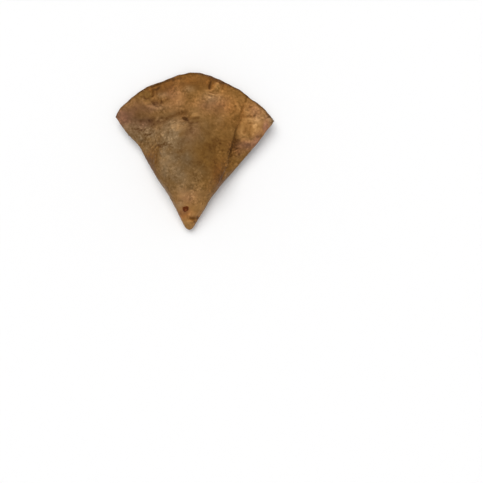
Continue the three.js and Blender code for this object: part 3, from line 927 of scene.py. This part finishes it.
# Where the crust is rosy: centre, radii, amount.
REDDENED = [
    ((-66, 30), (7, 9), 1.0),
    ((-54, 38), (12, 8), 0.5),
    ((-46, 24), (16, 7), 0.5),
    ((-40, 37), (10, 4), 0.3),
    ((39, -2), (4, 4), 0.2),
    ((-18, 46), (10, 12), 0.35),
    ((18, 40), (14, 8), 0.45),
    ((64, 20), (3.6, 7), 1.1),
    ((58, 10), (6, 6), 0.7),
    ((48, 4), (10, 5), 0.7),
    ((56, 36), (8, 8), 0.4),
    ((-9.8, -56.4), (5, 4), 0.45),
    ((-34, 42), (6, 4), 0.3),
    ((-6, -44), (10, 8), 0.3),
    ((-2, 14), (7, 8), 0.4),
]

# Where the skin is smooth and even (+) or more finely flecked (-) than elsewhere: centre, radii, amount.
SMOOTHED = [
    ((-1, 0), (15, 14), 1.0),
    ((10, 24), (8, 9), 0.6),
    ((24, 22), (10, 14), 0.5),
    ((-50, 34), (10, 7), 0.6),
    ((-14, 42), (16, 6), -0.6),
    ((27, -6), (8, 14), -0.7),
    ((0, -40), (7, 14), -0.6),
]

# Looks that come in patches: their zones, how far the underside has the look, and the noise that breaks it
# up, as wavelength in mm, octaves and shift.
PATCHES = {
    "oil": (OILED, 0.35, 12, 2, 41),
    "dryness_and_sheen": (DRIED_AND_SHEEN, 0.35, 9, 2, 51),
    "rosiness": (REDDENED, 0.1, 10, 2, 81),
}
PATCHINESS = 0.6  # how strongly the noise breaks them up

# The crust just right of the front flap's cut edge, by share along: how much browner (+) or paler (-), and
# how wide in mm. Lower down it is browner, partly fried and partly painted shade from the flap's edge; near
# the brim it is paler, partly pale cut dough and partly painted light against the step's own shade.
EDGE_SHADE_BROWNING = curve([
    (0.36, 0), (0.44, 0.04), (0.52, 0.06), (0.6, 0.18), (0.7, 0.2), (0.76, 0), (0.8, -0.16), (1, -0.2),
])
EDGE_SHADE_BREADTH = curve([(0.4, 1.6), (0.52, 2), (0.6, 5.6), (0.7, 6), (0.78, 2.4), (1, 2)])
EDGE_SHADE_MIDDLE = 0.3  # how far its middle is to the right of the edge, as a share of that width

# Layers of noise: how much, wavelength in mm, octaves, shift. The first four are in mm.
WANDER_X = [(0.6, 6, 2, 61), (0.4, 1.7, 1, 63)]  # how far the outlines of marks and zones wander
WANDER_Y = [(0.6, 6, 2, 71), (0.4, 1.7, 1, 73)]
BROAD_RELIEF = [(0.3, 11, 2, 0)]
PEBBLES = [(0.13, 3.6, 3, 5), (0.05, 1.2, 1, 3)]
MOTTLE = [(0.07, 15, 3, 21), (0.06, 4.5, 2, 31)]
MARKS_BREAK = [(0.6, 3.5, 2, 91)]
MARKS_LEVEL = 0.9  # share of a mark's browning that shows on average
MARKS_RANGE = (0.5, 1.2)  # at least and at most

# Fine bubbles come in patches, by noise of this wavelength in mm, octaves and shift.
BUBBLED_NOISE = (17, 1, 9)
BUBBLED_FROM = (-0.3, 0.4)  # levels of that noise between which the bubbles come in
BUBBLE_SIZE = 2.1  # mm
BUBBLE_RISE = 0.2  # mm
SMOOTH_LOSES = 0.6  # share of the pebbles and bubbles that smooth skin lacks

PLAIN_BROWNING = 0.512
# The brim's cut edges are darker, partly from frying and partly as painted shade. The grooves between its
# layers and the depth of its seam are darkened as painted shade.
RIM_BROWNING_AND_SHADE = 0.3  # how much darker the brim's cut edges and the grooves between them are
RIM_COMES_IN = 3  # rim rows over which that darkening comes in
BRIM_SHARE = 0.6  # share of it that the front has at the brim
BRIM_FADES = 2.4  # mm from the brim over which that fades
GROOVE_SHADE = 0.7  # painted shade in the groove between front and middle layers, if the brim's seam gets 1
LIFTS_OFF = (0.1, 1.2)  # mm above the table between which the underside gets its fine relief
MARKS_SOAK = 2.0  # how much oil has soaked into a dark mark, for each unit of its browning

# How far in mm the front's look runs on, fading, round a folded side into the underside.
FRONT_RUNS_UNDER = 14


def zone_sum(x, y, zones):
    total = np.zeros(len(x))
    for (cx, cy), (rx, ry), amount in zones:
        total += amount * np.exp(-(((x - cx) / rx) ** 2) - ((y - cy) / ry) ** 2)
    return total


def scattered_blisters(seed):
    """Small blisters drawn at random in their zones: centre, radius, rise, turn of the outline, browning."""
    draw = random.Random(seed)
    found = []
    for (cx, cy), spread, count, largest, browning in BLISTER_ZONES:
        for _ in range(count):
            angle, away = draw.uniform(0, 2 * math.pi), spread * math.sqrt(draw.random())
            radius = largest * draw.uniform(SMALLEST_BLISTER, 1)
            at = (cx + away * math.cos(angle), cy + away * math.sin(angle))
            rise, turn = radius * draw.uniform(*BLISTER_RISES), draw.uniform(0, 2 * math.pi)
            found.append((at, radius, rise, turn, browning * draw.uniform(*BLISTER_BROWNINGS)))
    return found


def raise_blisters(x, y, blisters):
    """Rise and browning of small blisters. Each has a shallow dark groove round it."""
    rise, browning = np.zeros(len(x)), np.zeros(len(x))
    for (bx, by), radius, height, turn, top_browning in blisters:
        reach = BLISTER_REACH * radius
        near = np.flatnonzero((np.abs(x - bx) < reach) & (np.abs(y - by) < reach))
        dx, dy = x[near] - bx, y[near] - by
        heading = np.arctan2(dy, dx) + turn
        uneven = radius * (1 + 0.18 * np.sin(2 * heading) + 0.12 * np.sin(3 * heading + turn))
        d = np.hypot(dx, dy) / uneven
        dome = np.clip(1 - d * d, 0, 1) ** SMALL_DOME_SOFTNESS
        groove = bell(d - RING_AT, RING_BREADTH)
        rise[near] += height * (dome - RING_DEPTH * groove)
        browning[near] += top_browning * dome + RING_BROWNING * groove
    return rise, browning


def raise_spots(x, y):
    """Rise and browning of the single blisters, pits and stains."""
    rise, browning = np.zeros(len(x)), np.zeros(len(x))
    for (cx, cy), (rx, ry), turn, middle_rise, middle_browning, rim_rise, rim_browning in SPOTS:
        cosine, sine = math.cos(math.radians(turn)), math.sin(math.radians(turn))
        dx, dy = x - cx, y - cy
        distance = np.hypot((dx * cosine + dy * sine) / rx, (dy * cosine - dx * sine) / ry)
        middle = 1 - smoothstep(distance, *SPOT_ENDS)
        rim = bell(distance - 1, SPOT_RIM)
        rise += middle_rise * middle + rim_rise * rim
        browning += middle_browning * middle + rim_browning * rim
    return rise, browning


def wrinkles(places):
    """Crossing wrinkles: 1 on their crests, 0 between them."""
    return np.maximum(*(bell(noise_at(places, *layer), WRINKLE_BREADTH) for layer in WRINKLE_NOISE))


class Crust:
    """The crust's fine relief and its looks, at the vertices of the skin's mesh."""

    def __init__(self, skin, places, rows, columns, seed):
        on_front, rim_row = skin.on_front[columns], skin.rim_row[rows]
        along, across = skin.along[rows], skin.across[rows, columns]
        width = WIDTH_PER_REACH * reach_to(0.5, along)
        to_side = np.minimum(across, 1 - across) * width
        self.places = places
        self.x = places[:, 0] + unevenness(places, WANDER_X)
        self.y = places[:, 1] + unevenness(places, WANDER_Y)
        self.frontness = np.where(on_front, 1, 1 - smoothstep(to_side, 0, FRONT_RUNS_UNDER))
        self.smoothness = np.clip(self.frontness * zone_sum(self.x, self.y, SMOOTHED), -1, 1)

        # painted shade in the grooves between the brim's layers, and on its cut edges, which are also fried
        # darker
        near_brim = BRIM_SHARE * self.frontness * bell((1 - along) * reach_to(0.5, 1), BRIM_FADES)
        deep = np.where(rows == skin.rows, 1.0, GROOVE_SHADE * (rim_row == GROOVE_ROW))
        self.edges = np.maximum(np.clip(rim_row / RIM_COMES_IN, near_brim, 1), deep)

        from_flap = (across - FLAP_EDGE(along)) * width
        front_rise, front_browning, marked = self.front_marks(from_flap, along, seed)
        under_rise, under_browning = raise_blisters(self.x, self.y, scattered_blisters(seed + 1))
        rise = self.grain() + lerp(UNDER_BLISTERS * under_rise, front_rise, self.frontness)
        on_table = np.where(on_front, 0, 1 - smoothstep(places[:, 2], *LIFTS_OFF))
        self.height = rise * (1 - np.maximum(deep, on_table))
        self.marks_browning = lerp(under_browning, front_browning, self.frontness)
        self.soaked = MARKS_SOAK * self.frontness * np.clip(marked, 0, 1)

    def grain(self):
        """Rise of the dough's broad unevenness, its pebbles and its fine bubbles."""
        bubbled = smoothstep(noise_at(self.places, *BUBBLED_NOISE), *BUBBLED_FROM)
        bubbles = BUBBLE_RISE * bubbled * (0.5 - cell_distance(self.places, BUBBLE_SIZE))
        fine = unevenness(self.places, PEBBLES) + bubbles
        return unevenness(self.places, BROAD_RELIEF) + (1 - SMOOTH_LOSES * self.smoothness) * fine

    def front_marks(self, from_flap, along, seed):
        """Rise and browning of all that has its own place in the front, and the browning of marks alone."""
        rise, browning = raise_blisters(self.x, self.y, scattered_blisters(seed))
        spots_rise, marked = raise_spots(self.x, self.y)
        rise += spots_rise
        shown = np.clip(MARKS_LEVEL + unevenness(self.places, MARKS_BREAK), *MARKS_RANGE)
        for line, width, line_rise, line_browning in MARKS:
            strength = near_line(self.x, self.y, line, width)
            rise += line_rise * strength
            marked += line_browning * strength * shown
        browning += marked
        wrinkled = np.clip(zone_sum(self.x, self.y, WRINKLED), 0, 1)
        crests = wrinkled * (wrinkles(self.places) - WRINKLE_MEAN)
        rise += WRINKLE_RISE * crests
        browning -= WRINKLE_PALENESS * crests
        # band right of the flap's cut edge: browner lower down, partly painted shade; paler near the brim,
        # partly painted light
        breadth = EDGE_SHADE_BREADTH(along)
        browning += EDGE_SHADE_BROWNING(along) * bell(from_flap - EDGE_SHADE_MIDDLE * breadth, breadth)
        return rise, browning + zone_sum(self.x, self.y, BROWNED), marked

    def browning(self):
        """How dark the crust is: 0 is palest, 1 darkest. Besides its browning, this holds painted shade and
        highlights.
        """
        plain = PLAIN_BROWNING + unevenness(self.places, MOTTLE)
        return np.clip(plain + self.marks_browning + RIM_BROWNING_AND_SHADE * self.edges, 0, 1)

    def patches(self, look, extra=0.0):
        """0 to 1: how far the crust takes on one of the looks that come in patches."""
        zones, underside, *layer = PATCHES[look]
        amount = lerp(underside, zone_sum(self.x, self.y, zones), self.frontness)
        return np.clip(amount * (1 + PATCHINESS * noise_at(self.places, *layer)) + extra, 0, 1)

    def looks(self):
        """What the crust's material reads at each vertex."""
        return {
            "browning": self.browning(),
            "oil": self.patches("oil", self.soaked),
            "dryness_and_sheen": self.patches("dryness_and_sheen"),
            "rosiness": self.patches("rosiness"),
            "smoothness": self.smoothness,
        }


# ---------------------------------------------------------------- materials


def opaque(colour):
    return (*colour, 1.0)


class Nodes:
    """Adds nodes to a material, and links them."""

    def __init__(self, name):
        self.material = bpy.data.materials.new(name)
        self.material.use_nodes = True
        self.tree = self.material.node_tree
        self.shader = self.tree.nodes["Principled BSDF"]

    def put(self, socket, value):
        if isinstance(value, bpy.types.NodeSocket):
            self.tree.links.new(value, socket)
        else:
            socket.default_value = value

    def attribute(self, name):
        node = self.tree.nodes.new("ShaderNodeAttribute")
        node.attribute_name = name
        return node.outputs["Fac"]

    def place(self):
        return self.tree.nodes.new("ShaderNodeTexCoord").outputs["Object"]

    def noise(self, size_mm, detail, roughness=0.5, distortion=0.0):
        node = self.tree.nodes.new("ShaderNodeTexNoise")
        self.put(node.inputs["Vector"], self.place())
        node.inputs["Scale"].default_value = 1 / (size_mm * MM)
        node.inputs["Detail"].default_value = detail
        node.inputs["Roughness"].default_value = roughness
        node.inputs["Distortion"].default_value = distortion
        return node.outputs["Fac"]

    def cells(self, size_mm):
        node = self.tree.nodes.new("ShaderNodeTexVoronoi")
        self.put(node.inputs["Vector"], self.place())
        node.inputs["Scale"].default_value = 1 / (size_mm * MM)
        return node.outputs["Distance"]

    def math(self, operation, a, b):
        node = self.tree.nodes.new("ShaderNodeMath")
        node.operation = operation
        self.put(node.inputs[0], a)
        self.put(node.inputs[1], b)
        return node.outputs[0]

    def span(self, value, low, high, to_low, to_high):
        """Takes low to high smoothly to to_low to to_high, and is level outside them."""
        node = self.tree.nodes.new("ShaderNodeMapRange")
        node.interpolation_type = "SMOOTHSTEP"
        for name, number in (("From Min", low), ("From Max", high), ("To Min", to_low), ("To Max", to_high)):
            node.inputs[name].default_value = number
        self.put(node.inputs["Value"], value)
        return node.outputs["Result"]

    def mottle(self, grain, levels):
        return self.span(self.noise(*grain), *levels)

    def mix(self, share, a, b, blend="MIX"):
        node = self.tree.nodes.new("ShaderNodeMix")
        node.data_type = "RGBA"
        node.blend_type = blend
        self.put(node.inputs["Factor"], share)
        self.put(node.inputs["A"], a)
        self.put(node.inputs["B"], b)
        return node.outputs["Result"]

    def ramp(self, value, stops):
        node = self.tree.nodes.new("ShaderNodeValToRGB")
        elements = node.color_ramp.elements
        while len(elements) < len(stops):
            elements.new(1.0)
        for element, (position, colour) in zip(elements, stops):
            element.position = position
            element.color = opaque(colour)
        self.put(node.inputs["Fac"], value)
        return node.outputs["Color"]

    def bump(self, height, distance_mm, strength, base=None):
        node = self.tree.nodes.new("ShaderNodeBump")
        node.inputs["Strength"].default_value = strength
        node.inputs["Distance"].default_value = distance_mm * MM
        self.put(node.inputs["Height"], height)
        if base:
            self.put(node.inputs["Normal"], base)
        return node.outputs["Normal"]

    def shine(self, roughness, level, tint):
        self.put(self.shader.inputs["Roughness"], roughness)
        self.put(self.shader.inputs["Specular IOR Level"], level)
        self.put(self.shader.inputs["Specular Tint"], opaque(tint))


# The crust's mottling: size in mm, detail, roughness and distortion of a noise, then the levels that it is
# taken from and to.
BROWN_PATCHES = ((5.5, 4, 0.6, 0.4), (0.25, 0.75, -0.08, 0.08))
FLECKS = ((2.2, 5, 0.6), (0.3, 0.7, -0.09, 0.09))
FLECKS_VARY = ((10, 2), (0.35, 0.65, 0.3, 1.7))
PALE_FLAKES = ((2.4, 5, 0.65), (0.52, 0.7, 0.0, -0.17))
GLOSS = ((7, 3, 0.55), (0.35, 0.65, 0.06, -0.1))

# Levels from and to: how strongly flecks show in smooth skin, and how far dry skin is dull if it is dark.
FLECKS_IF_SMOOTH = (-1, 1, 1.8, 0.2)
DULL_IF_DARK = (0.45, 0.95, 1.0, 0.3)

# How far the oily and rosy hues take over, and how much less rough oil makes the crust.
OILY_HUE = 0.8
ROSY_HUE = 0.9
OIL_ROUGHNESS = -0.1

# Noise of fine bumps, and their depth in mm and strength. Pores are cells of one size in mm.
PIMPLES, PIMPLE_DEPTH = (1.3, 5, 0.65), (0.4, 0.75)
PORES, PORE_DEPTH = 0.7, (0.12, 0.5)
CHILLI_GRAIN, CHILLI_DEPTH = (0.9, 3, 0.6), (0.25, 0.7)
PAPER_TOOTH, TOOTH_DEPTH = (1.5, 2), (0.02, 0.1)

# Strength and tint of the shine.
CRUST_SHINE = (0.14, (1.0, 0.62, 0.3))
CHILLI_SHINE = (0.2, (1.0, 0.5, 0.25))

CHILLI_DARK = (0.055, 0.011, 0.002)
CHILLI_RED = (0.12, 0.024, 0.004)
CHILLI_PITH = (0.2, 0.06, 0.02)
CHILLI_ROUGHNESS = 0.42
FLOOR_ROUGHNESS = 0.9


def crust_material(finish):
    """Fried wheat dough: mottled golden to dark brown, with oily, dull and rosy patches and fine pores.

    Its browning also carries painted shade and painted highlights, and its dull patches partly a painted
    sheen.
    """
    n = Nodes("fried crust")
    browning, oil, dry, rosy = (n.attribute(name) for name in ("browning", "oil", "dryness_and_sheen", "rosiness"))
    patches = n.mottle(*BROWN_PATCHES)
    shown = n.span(n.attribute("smoothness"), *FLECKS_IF_SMOOTH)
    flecks = n.math("MULTIPLY", n.math("MULTIPLY", n.mottle(*FLECKS_VARY), shown), n.mottle(*FLECKS))
    flakes = n.math("MULTIPLY", dry, n.mottle(*PALE_FLAKES))
    level = n.math("ADD", n.math("ADD", browning, patches), n.math("ADD", flecks, flakes))
    browns = [(0.0, finish.pale), (0.3, finish.golden), (0.6, finish.brown), (0.95, finish.dark)]
    soaked = n.mix(n.math("MULTIPLY", oil, OILY_HUE), n.ramp(level, browns), opaque(finish.oily), "COLOR")
    # the dusty hue: dried dull skin, and on the pillow's upper left slope partly painted sheen
    dullness = n.math("MULTIPLY", dry, n.span(level, *DULL_IF_DARK))
    dull = n.mix(dullness, soaked, opaque(finish.dusty_and_sheen), "COLOR")
    skin = n.mix(n.math("MULTIPLY", rosy, ROSY_HUE), dull, opaque(finish.rosy), "COLOR")
    n.put(n.shader.inputs["Base Color"], skin)
    dry_roughness = n.math("ADD", finish.roughness, n.mottle(*GLOSS))
    roughness = n.math("ADD", dry_roughness, n.math("MULTIPLY", oil, OIL_ROUGHNESS))
    n.shine(roughness, *CRUST_SHINE)
    pimples = n.bump(n.noise(*PIMPLES), *PIMPLE_DEPTH)
    n.put(n.shader.inputs["Normal"], n.bump(n.cells(PORES), *PORE_DEPTH, pimples))
    return n.material


def pepper_material():
    """Fried red chilli: dark red skin round a paler, thinner middle."""
    n = Nodes("red pepper")
    tone = n.noise(*CHILLI_GRAIN)
    skin = n.ramp(tone, [(0.3, CHILLI_DARK), (0.7, CHILLI_RED)])
    n.put(n.shader.inputs["Base Color"], n.mix(n.attribute("pith"), skin, opaque(CHILLI_PITH)))
    n.shine(CHILLI_ROUGHNESS, *CHILLI_SHINE)
    n.put(n.shader.inputs["Normal"], n.bump(tone, *CHILLI_DEPTH))
    return n.material


def floor_material(colour):
    """Matt paper, with a faint tooth."""
    n = Nodes("floor")
    n.put(n.shader.inputs["Base Color"], opaque(colour))
    n.put(n.shader.inputs["Roughness"], FLOOR_ROUGHNESS)
    n.put(n.shader.inputs["Normal"], n.bump(n.noise(*PAPER_TOOTH), *TOOTH_DEPTH))
    return n.material


# ---------------------------------------------------------------- pieces

SAME_PLACE = 0.0005  # mm, within which vertices are merged


def add_object(context, name, bm, material):
    mesh = bpy.data.meshes.new(name)
    bm.to_mesh(mesh)
    bm.free()
    mesh.shade_smooth()
    piece = bpy.data.objects.new(name, mesh)
    piece.data.materials.append(material)
    context.scene.collection.objects.link(piece)
    return piece


def skin_mesh(skin):
    """The skin as a closed mesh, and its vertices' places in millimetres, grid rows and grid columns."""
    places = skin.places()
    bm = bmesh.new()
    bmesh.ops.create_grid(bm, x_segments=skin.columns, y_segments=skin.rows, size=1)
    cell = bm.verts.layers.int.new("cell")
    for vert in bm.verts:
        column = round((vert.co.x + 1) / 2 * skin.columns)
        row = round((vert.co.y + 1) / 2 * skin.rows)
        vert[cell] = row * (skin.columns + 1) + column
        vert.co = places[row, column] * MM
    bmesh.ops.remove_doubles(bm, verts=bm.verts, dist=SAME_PLACE * MM)
    bmesh.ops.recalc_face_normals(bm, faces=bm.faces)
    bm.normal_update()
    rows, columns = np.divmod([vert[cell] for vert in bm.verts], skin.columns + 1)
    bm.verts.layers.int.remove(cell)
    return bm, places[rows, columns], rows, columns


class SAMOSA_OT_crust(Operator):
    """Make the folded, filled and fried dough as one closed skin"""

    bl_idname = "samosa.crust"
    bl_label = "Crust"
    bl_options = {"REGISTER", "UNDO"}

    def execute(self, context):
        scene = context.scene
        skin = Skin(Dough(scene.samosa_dough))
        bm, places, rows, columns = skin_mesh(skin)
        crust = Crust(skin, places, rows, columns, scene.samosa_crust.blister_seed)
        for vert, rise in zip(bm.verts, crust.height):
            vert.co += vert.normal * float(rise) * MM
            vert.co.z = max(vert.co.z, 0)
        piece = add_object(context, "samosa_crust", bm, crust_material(scene.samosa_crust))
        for name, values in crust.looks().items():
            look = piece.data.attributes.new(name, "FLOAT", "POINT")
            look.data.foreach_set("value", values.astype("f"))
        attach(piece, BODY)
        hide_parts(NODE)
        return {"FINISHED"}


CHILLI_AT = (-7.6, -52.8)
CHILLI_STEPS = 40  # steps round the slice
RAY_START = 0.1  # m, a height well above the crust

# Half section of the slice, from its middle out, over its edge and back under: mm out, mm up.
CHILLI_SECTION = [
    (0, 0.2), (0.4, 0.21), (0.8, 0.25), (1.2, 0.31), (1.6, 0.34), (2, 0.3), (2.4, 0.17), (2.7, -0.04),
    (2.8, -0.26), (2.5, -0.6), (0, -0.7),
]
PITH_AT = (-0.2, -0.7)
PITH_RADIUS = 0.8


class SAMOSA_OT_chilli(Operator):
    """Make the slice of red chilli that has fried into the crust near the point"""

    bl_idname = "samosa.chilli"
    bl_label = "Chilli slice"
    bl_options = {"REGISTER", "UNDO"}

    def execute(self, context):
        crust = context.scene.objects.get("samosa_crust")
        if crust is None:
            raise RuntimeError("make the crust before the chilli slice")
        tree = BVHTree.FromObject(crust, context.evaluated_depsgraph_get())
        above = Vector((CHILLI_AT[0] * MM, CHILLI_AT[1] * MM, RAY_START))
        spot, normal, _, _ = tree.ray_cast(above, Vector((0, 0, -1)))
        bm = bmesh.new()
        section = [bm.verts.new((out, 0, up)) for out, up in CHILLI_SECTION]
        for a, b in zip(section, section[1:]):
            bm.edges.new((a, b))
        bmesh.ops.spin(
            bm, geom=bm.verts[:] + bm.edges[:], axis=(0, 0, 1), cent=(0, 0, 0), steps=CHILLI_STEPS,
            angle=2 * math.pi, use_merge=True,
        )
        bmesh.ops.remove_doubles(bm, verts=bm.verts, dist=SAME_PLACE)
        pith = bm.verts.layers.float.new("pith")
        for vert in bm.verts:
            heading, out = math.atan2(vert.co.y, vert.co.x), math.hypot(vert.co.x, vert.co.y)
            from_pith = math.hypot(vert.co.x - PITH_AT[0], vert.co.y - PITH_AT[1])
            vert[pith] = math.exp(-((from_pith / PITH_RADIUS) ** 2))
            # a slightly flattened, four-lobed round that has curled up a little in frying
            uneven = 1.04 - 0.06 * math.cos(4 * heading + 0.3) + 0.02 * math.sin(3 * heading)
            vert.co.x *= uneven
            vert.co.y *= 0.96 * uneven
            vert.co.z += 0.05 * out * math.sin(2 * heading + 0.4) + 0.03 * out * math.sin(5 * heading)
        bmesh.ops.recalc_face_normals(bm, faces=bm.faces)
        stand = Matrix.Translation(spot) @ normal.to_track_quat("Z", "Y").to_matrix().to_4x4()
        bmesh.ops.transform(bm, matrix=stand @ Matrix.Scale(MM, 4), verts=bm.verts)
        piece = add_object(context, "chilli_slice", bm, pepper_material())
        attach(piece, BODY)
        return {"FINISHED"}


# ---------------------------------------------------------------- stage

# The stage is measured in metres.
VIEW_CENTRE = Vector((0.0419, -0.0816))  # what the camera looks straight down on
VIEW_WIDTH = 0.4347  # width in view at the height of the brim
BRIM_LEVEL = 0.011
LENS = 60.0
SENSOR = 36.0
CAMERA_REACH = 10
FLOOR_REACH = 3  # from its middle to its sides
FLOOR_GAP = 0.05 * MM  # how far the floor is below the samosa's flat base, so that the two share no face

# Soft lights: the direction each comes from, how many degrees broad it is, and its colour.
KEY_LIGHT = ((-0.22, 0.5, 0.95), 44, (1.0, 0.985, 0.96))
OVERHEAD_LIGHT = ((0.1, -0.1, 1.2), 62, (1.0, 1.0, 1.0))
CEILING_FROM = 0.42  # height, from 0 level to 1 straight up, from which the studio is all ceiling


class SAMOSA_OT_stage(Operator):
    """Make the pale floor, the soft studio light and the camera overhead"""

    bl_idname = "samosa.stage"
    bl_label = "Stage"
    bl_options = {"REGISTER", "UNDO"}

    def execute(self, context):
        scene = context.scene
        stage = scene.samosa_stage
        bm = bmesh.new()
        bmesh.ops.create_grid(bm, x_segments=4, y_segments=4, size=FLOOR_REACH)
        bmesh.ops.translate(bm, verts=bm.verts, vec=(0, 0, -FLOOR_GAP))
        floor = add_object(context, "floor", bm, floor_material(stage.floor_colour))
        self.light(context, "key", stage.key, *KEY_LIGHT)
        self.light(context, "overhead", stage.overhead, *OVERHEAD_LIGHT)
        scene.world = self.studio(stage)
        camera = bpy.data.objects.new("camera", bpy.data.cameras.new("camera"))
        camera.data.lens, camera.data.sensor_width = LENS, SENSOR
        camera.location = (*VIEW_CENTRE, BRIM_LEVEL + VIEW_WIDTH * LENS / SENSOR)
        camera.data.clip_end = CAMERA_REACH
        scene.collection.objects.link(camera)
        scene.camera = camera
        scene.view_settings.view_transform = "Standard"
        return {"FINISHED"}

    def light(self, context, name, strength, place, breadth, colour):
        """A soft light that is far off in the direction of a place."""
        lamp = bpy.data.lights.new(name, "SUN")
        lamp.angle, lamp.energy, lamp.color = math.radians(breadth), strength, colour
        holder = bpy.data.objects.new(name, lamp)
        holder.location = place
        holder.rotation_mode = "QUATERNION"
        holder.rotation_quaternion = Vector(place).to_track_quat("Z", "Y")
        context.scene.collection.objects.link(holder)

    def studio(self, stage):
        """Pale walls all round, under a dimmer ceiling."""
        world = bpy.data.worlds.new("studio")
        world.use_nodes = True
        nodes, links = world.node_tree.nodes, world.node_tree.links
        height = nodes.new("ShaderNodeSeparateXYZ")
        links.new(nodes.new("ShaderNodeTexCoord").outputs["Generated"], height.inputs["Vector"])
        fade = nodes.new("ShaderNodeMapRange")
        fade.interpolation_type = "SMOOTHSTEP"
        fade.inputs["From Min"].default_value = 0.0
        fade.inputs["From Max"].default_value = CEILING_FROM
        fade.inputs["To Min"].default_value = stage.walls
        fade.inputs["To Max"].default_value = stage.ceiling
        links.new(height.outputs["Z"], fade.inputs["Value"])
        background = nodes["Background"]
        background.inputs["Color"].default_value = (1.0, 1.0, 1.0, 1.0)
        links.new(fade.outputs["Result"], background.inputs["Strength"])
        return world


# ---------------------------------------------------------------- panel and registration


class SAMOSA_PT_panel(Panel):
    """The samosa's pieces and the sizes and colours that can be changed"""

    bl_idname = "SAMOSA_PT_panel"
    bl_label = "Samosa"
    bl_space_type = "VIEW_3D"
    bl_region_type = "UI"
    bl_category = "Samosa"

    def draw(self, context):
        scene = context.scene
        for title, settings in (
            ("Dough", scene.samosa_dough),
            ("Crust", scene.samosa_crust),
            ("Stage", scene.samosa_stage),
        ):
            box = self.layout.box()
            box.label(text=title)
            for name in settings.__annotations__:
                box.prop(settings, name)
        for step in STEPS:
            self.layout.operator(step.bl_idname)


STEPS = (SAMOSA_OT_crust, SAMOSA_OT_chilli, SAMOSA_OT_stage)
SETTINGS = {
    "samosa_dough": SAMOSA_PG_dough,
    "samosa_crust": SAMOSA_PG_crust,
    "samosa_stage": SAMOSA_PG_stage,
}


def register():
    for cls in (*SETTINGS.values(), *STEPS, SAMOSA_PT_panel):
        bpy.utils.register_class(cls)
    for name, group in SETTINGS.items():
        setattr(bpy.types.Scene, name, PointerProperty(type=group))


def unregister():
    for name in SETTINGS:
        delattr(bpy.types.Scene, name)
    for cls in (SAMOSA_PT_panel, *reversed(STEPS), *reversed(SETTINGS.values())):
        bpy.utils.unregister_class(cls)


def main():
    register()
    bpy.ops.samosa.crust()
    bpy.ops.samosa.chilli()
    bpy.ops.samosa.stage()


if __name__ == "__main__":
    main()
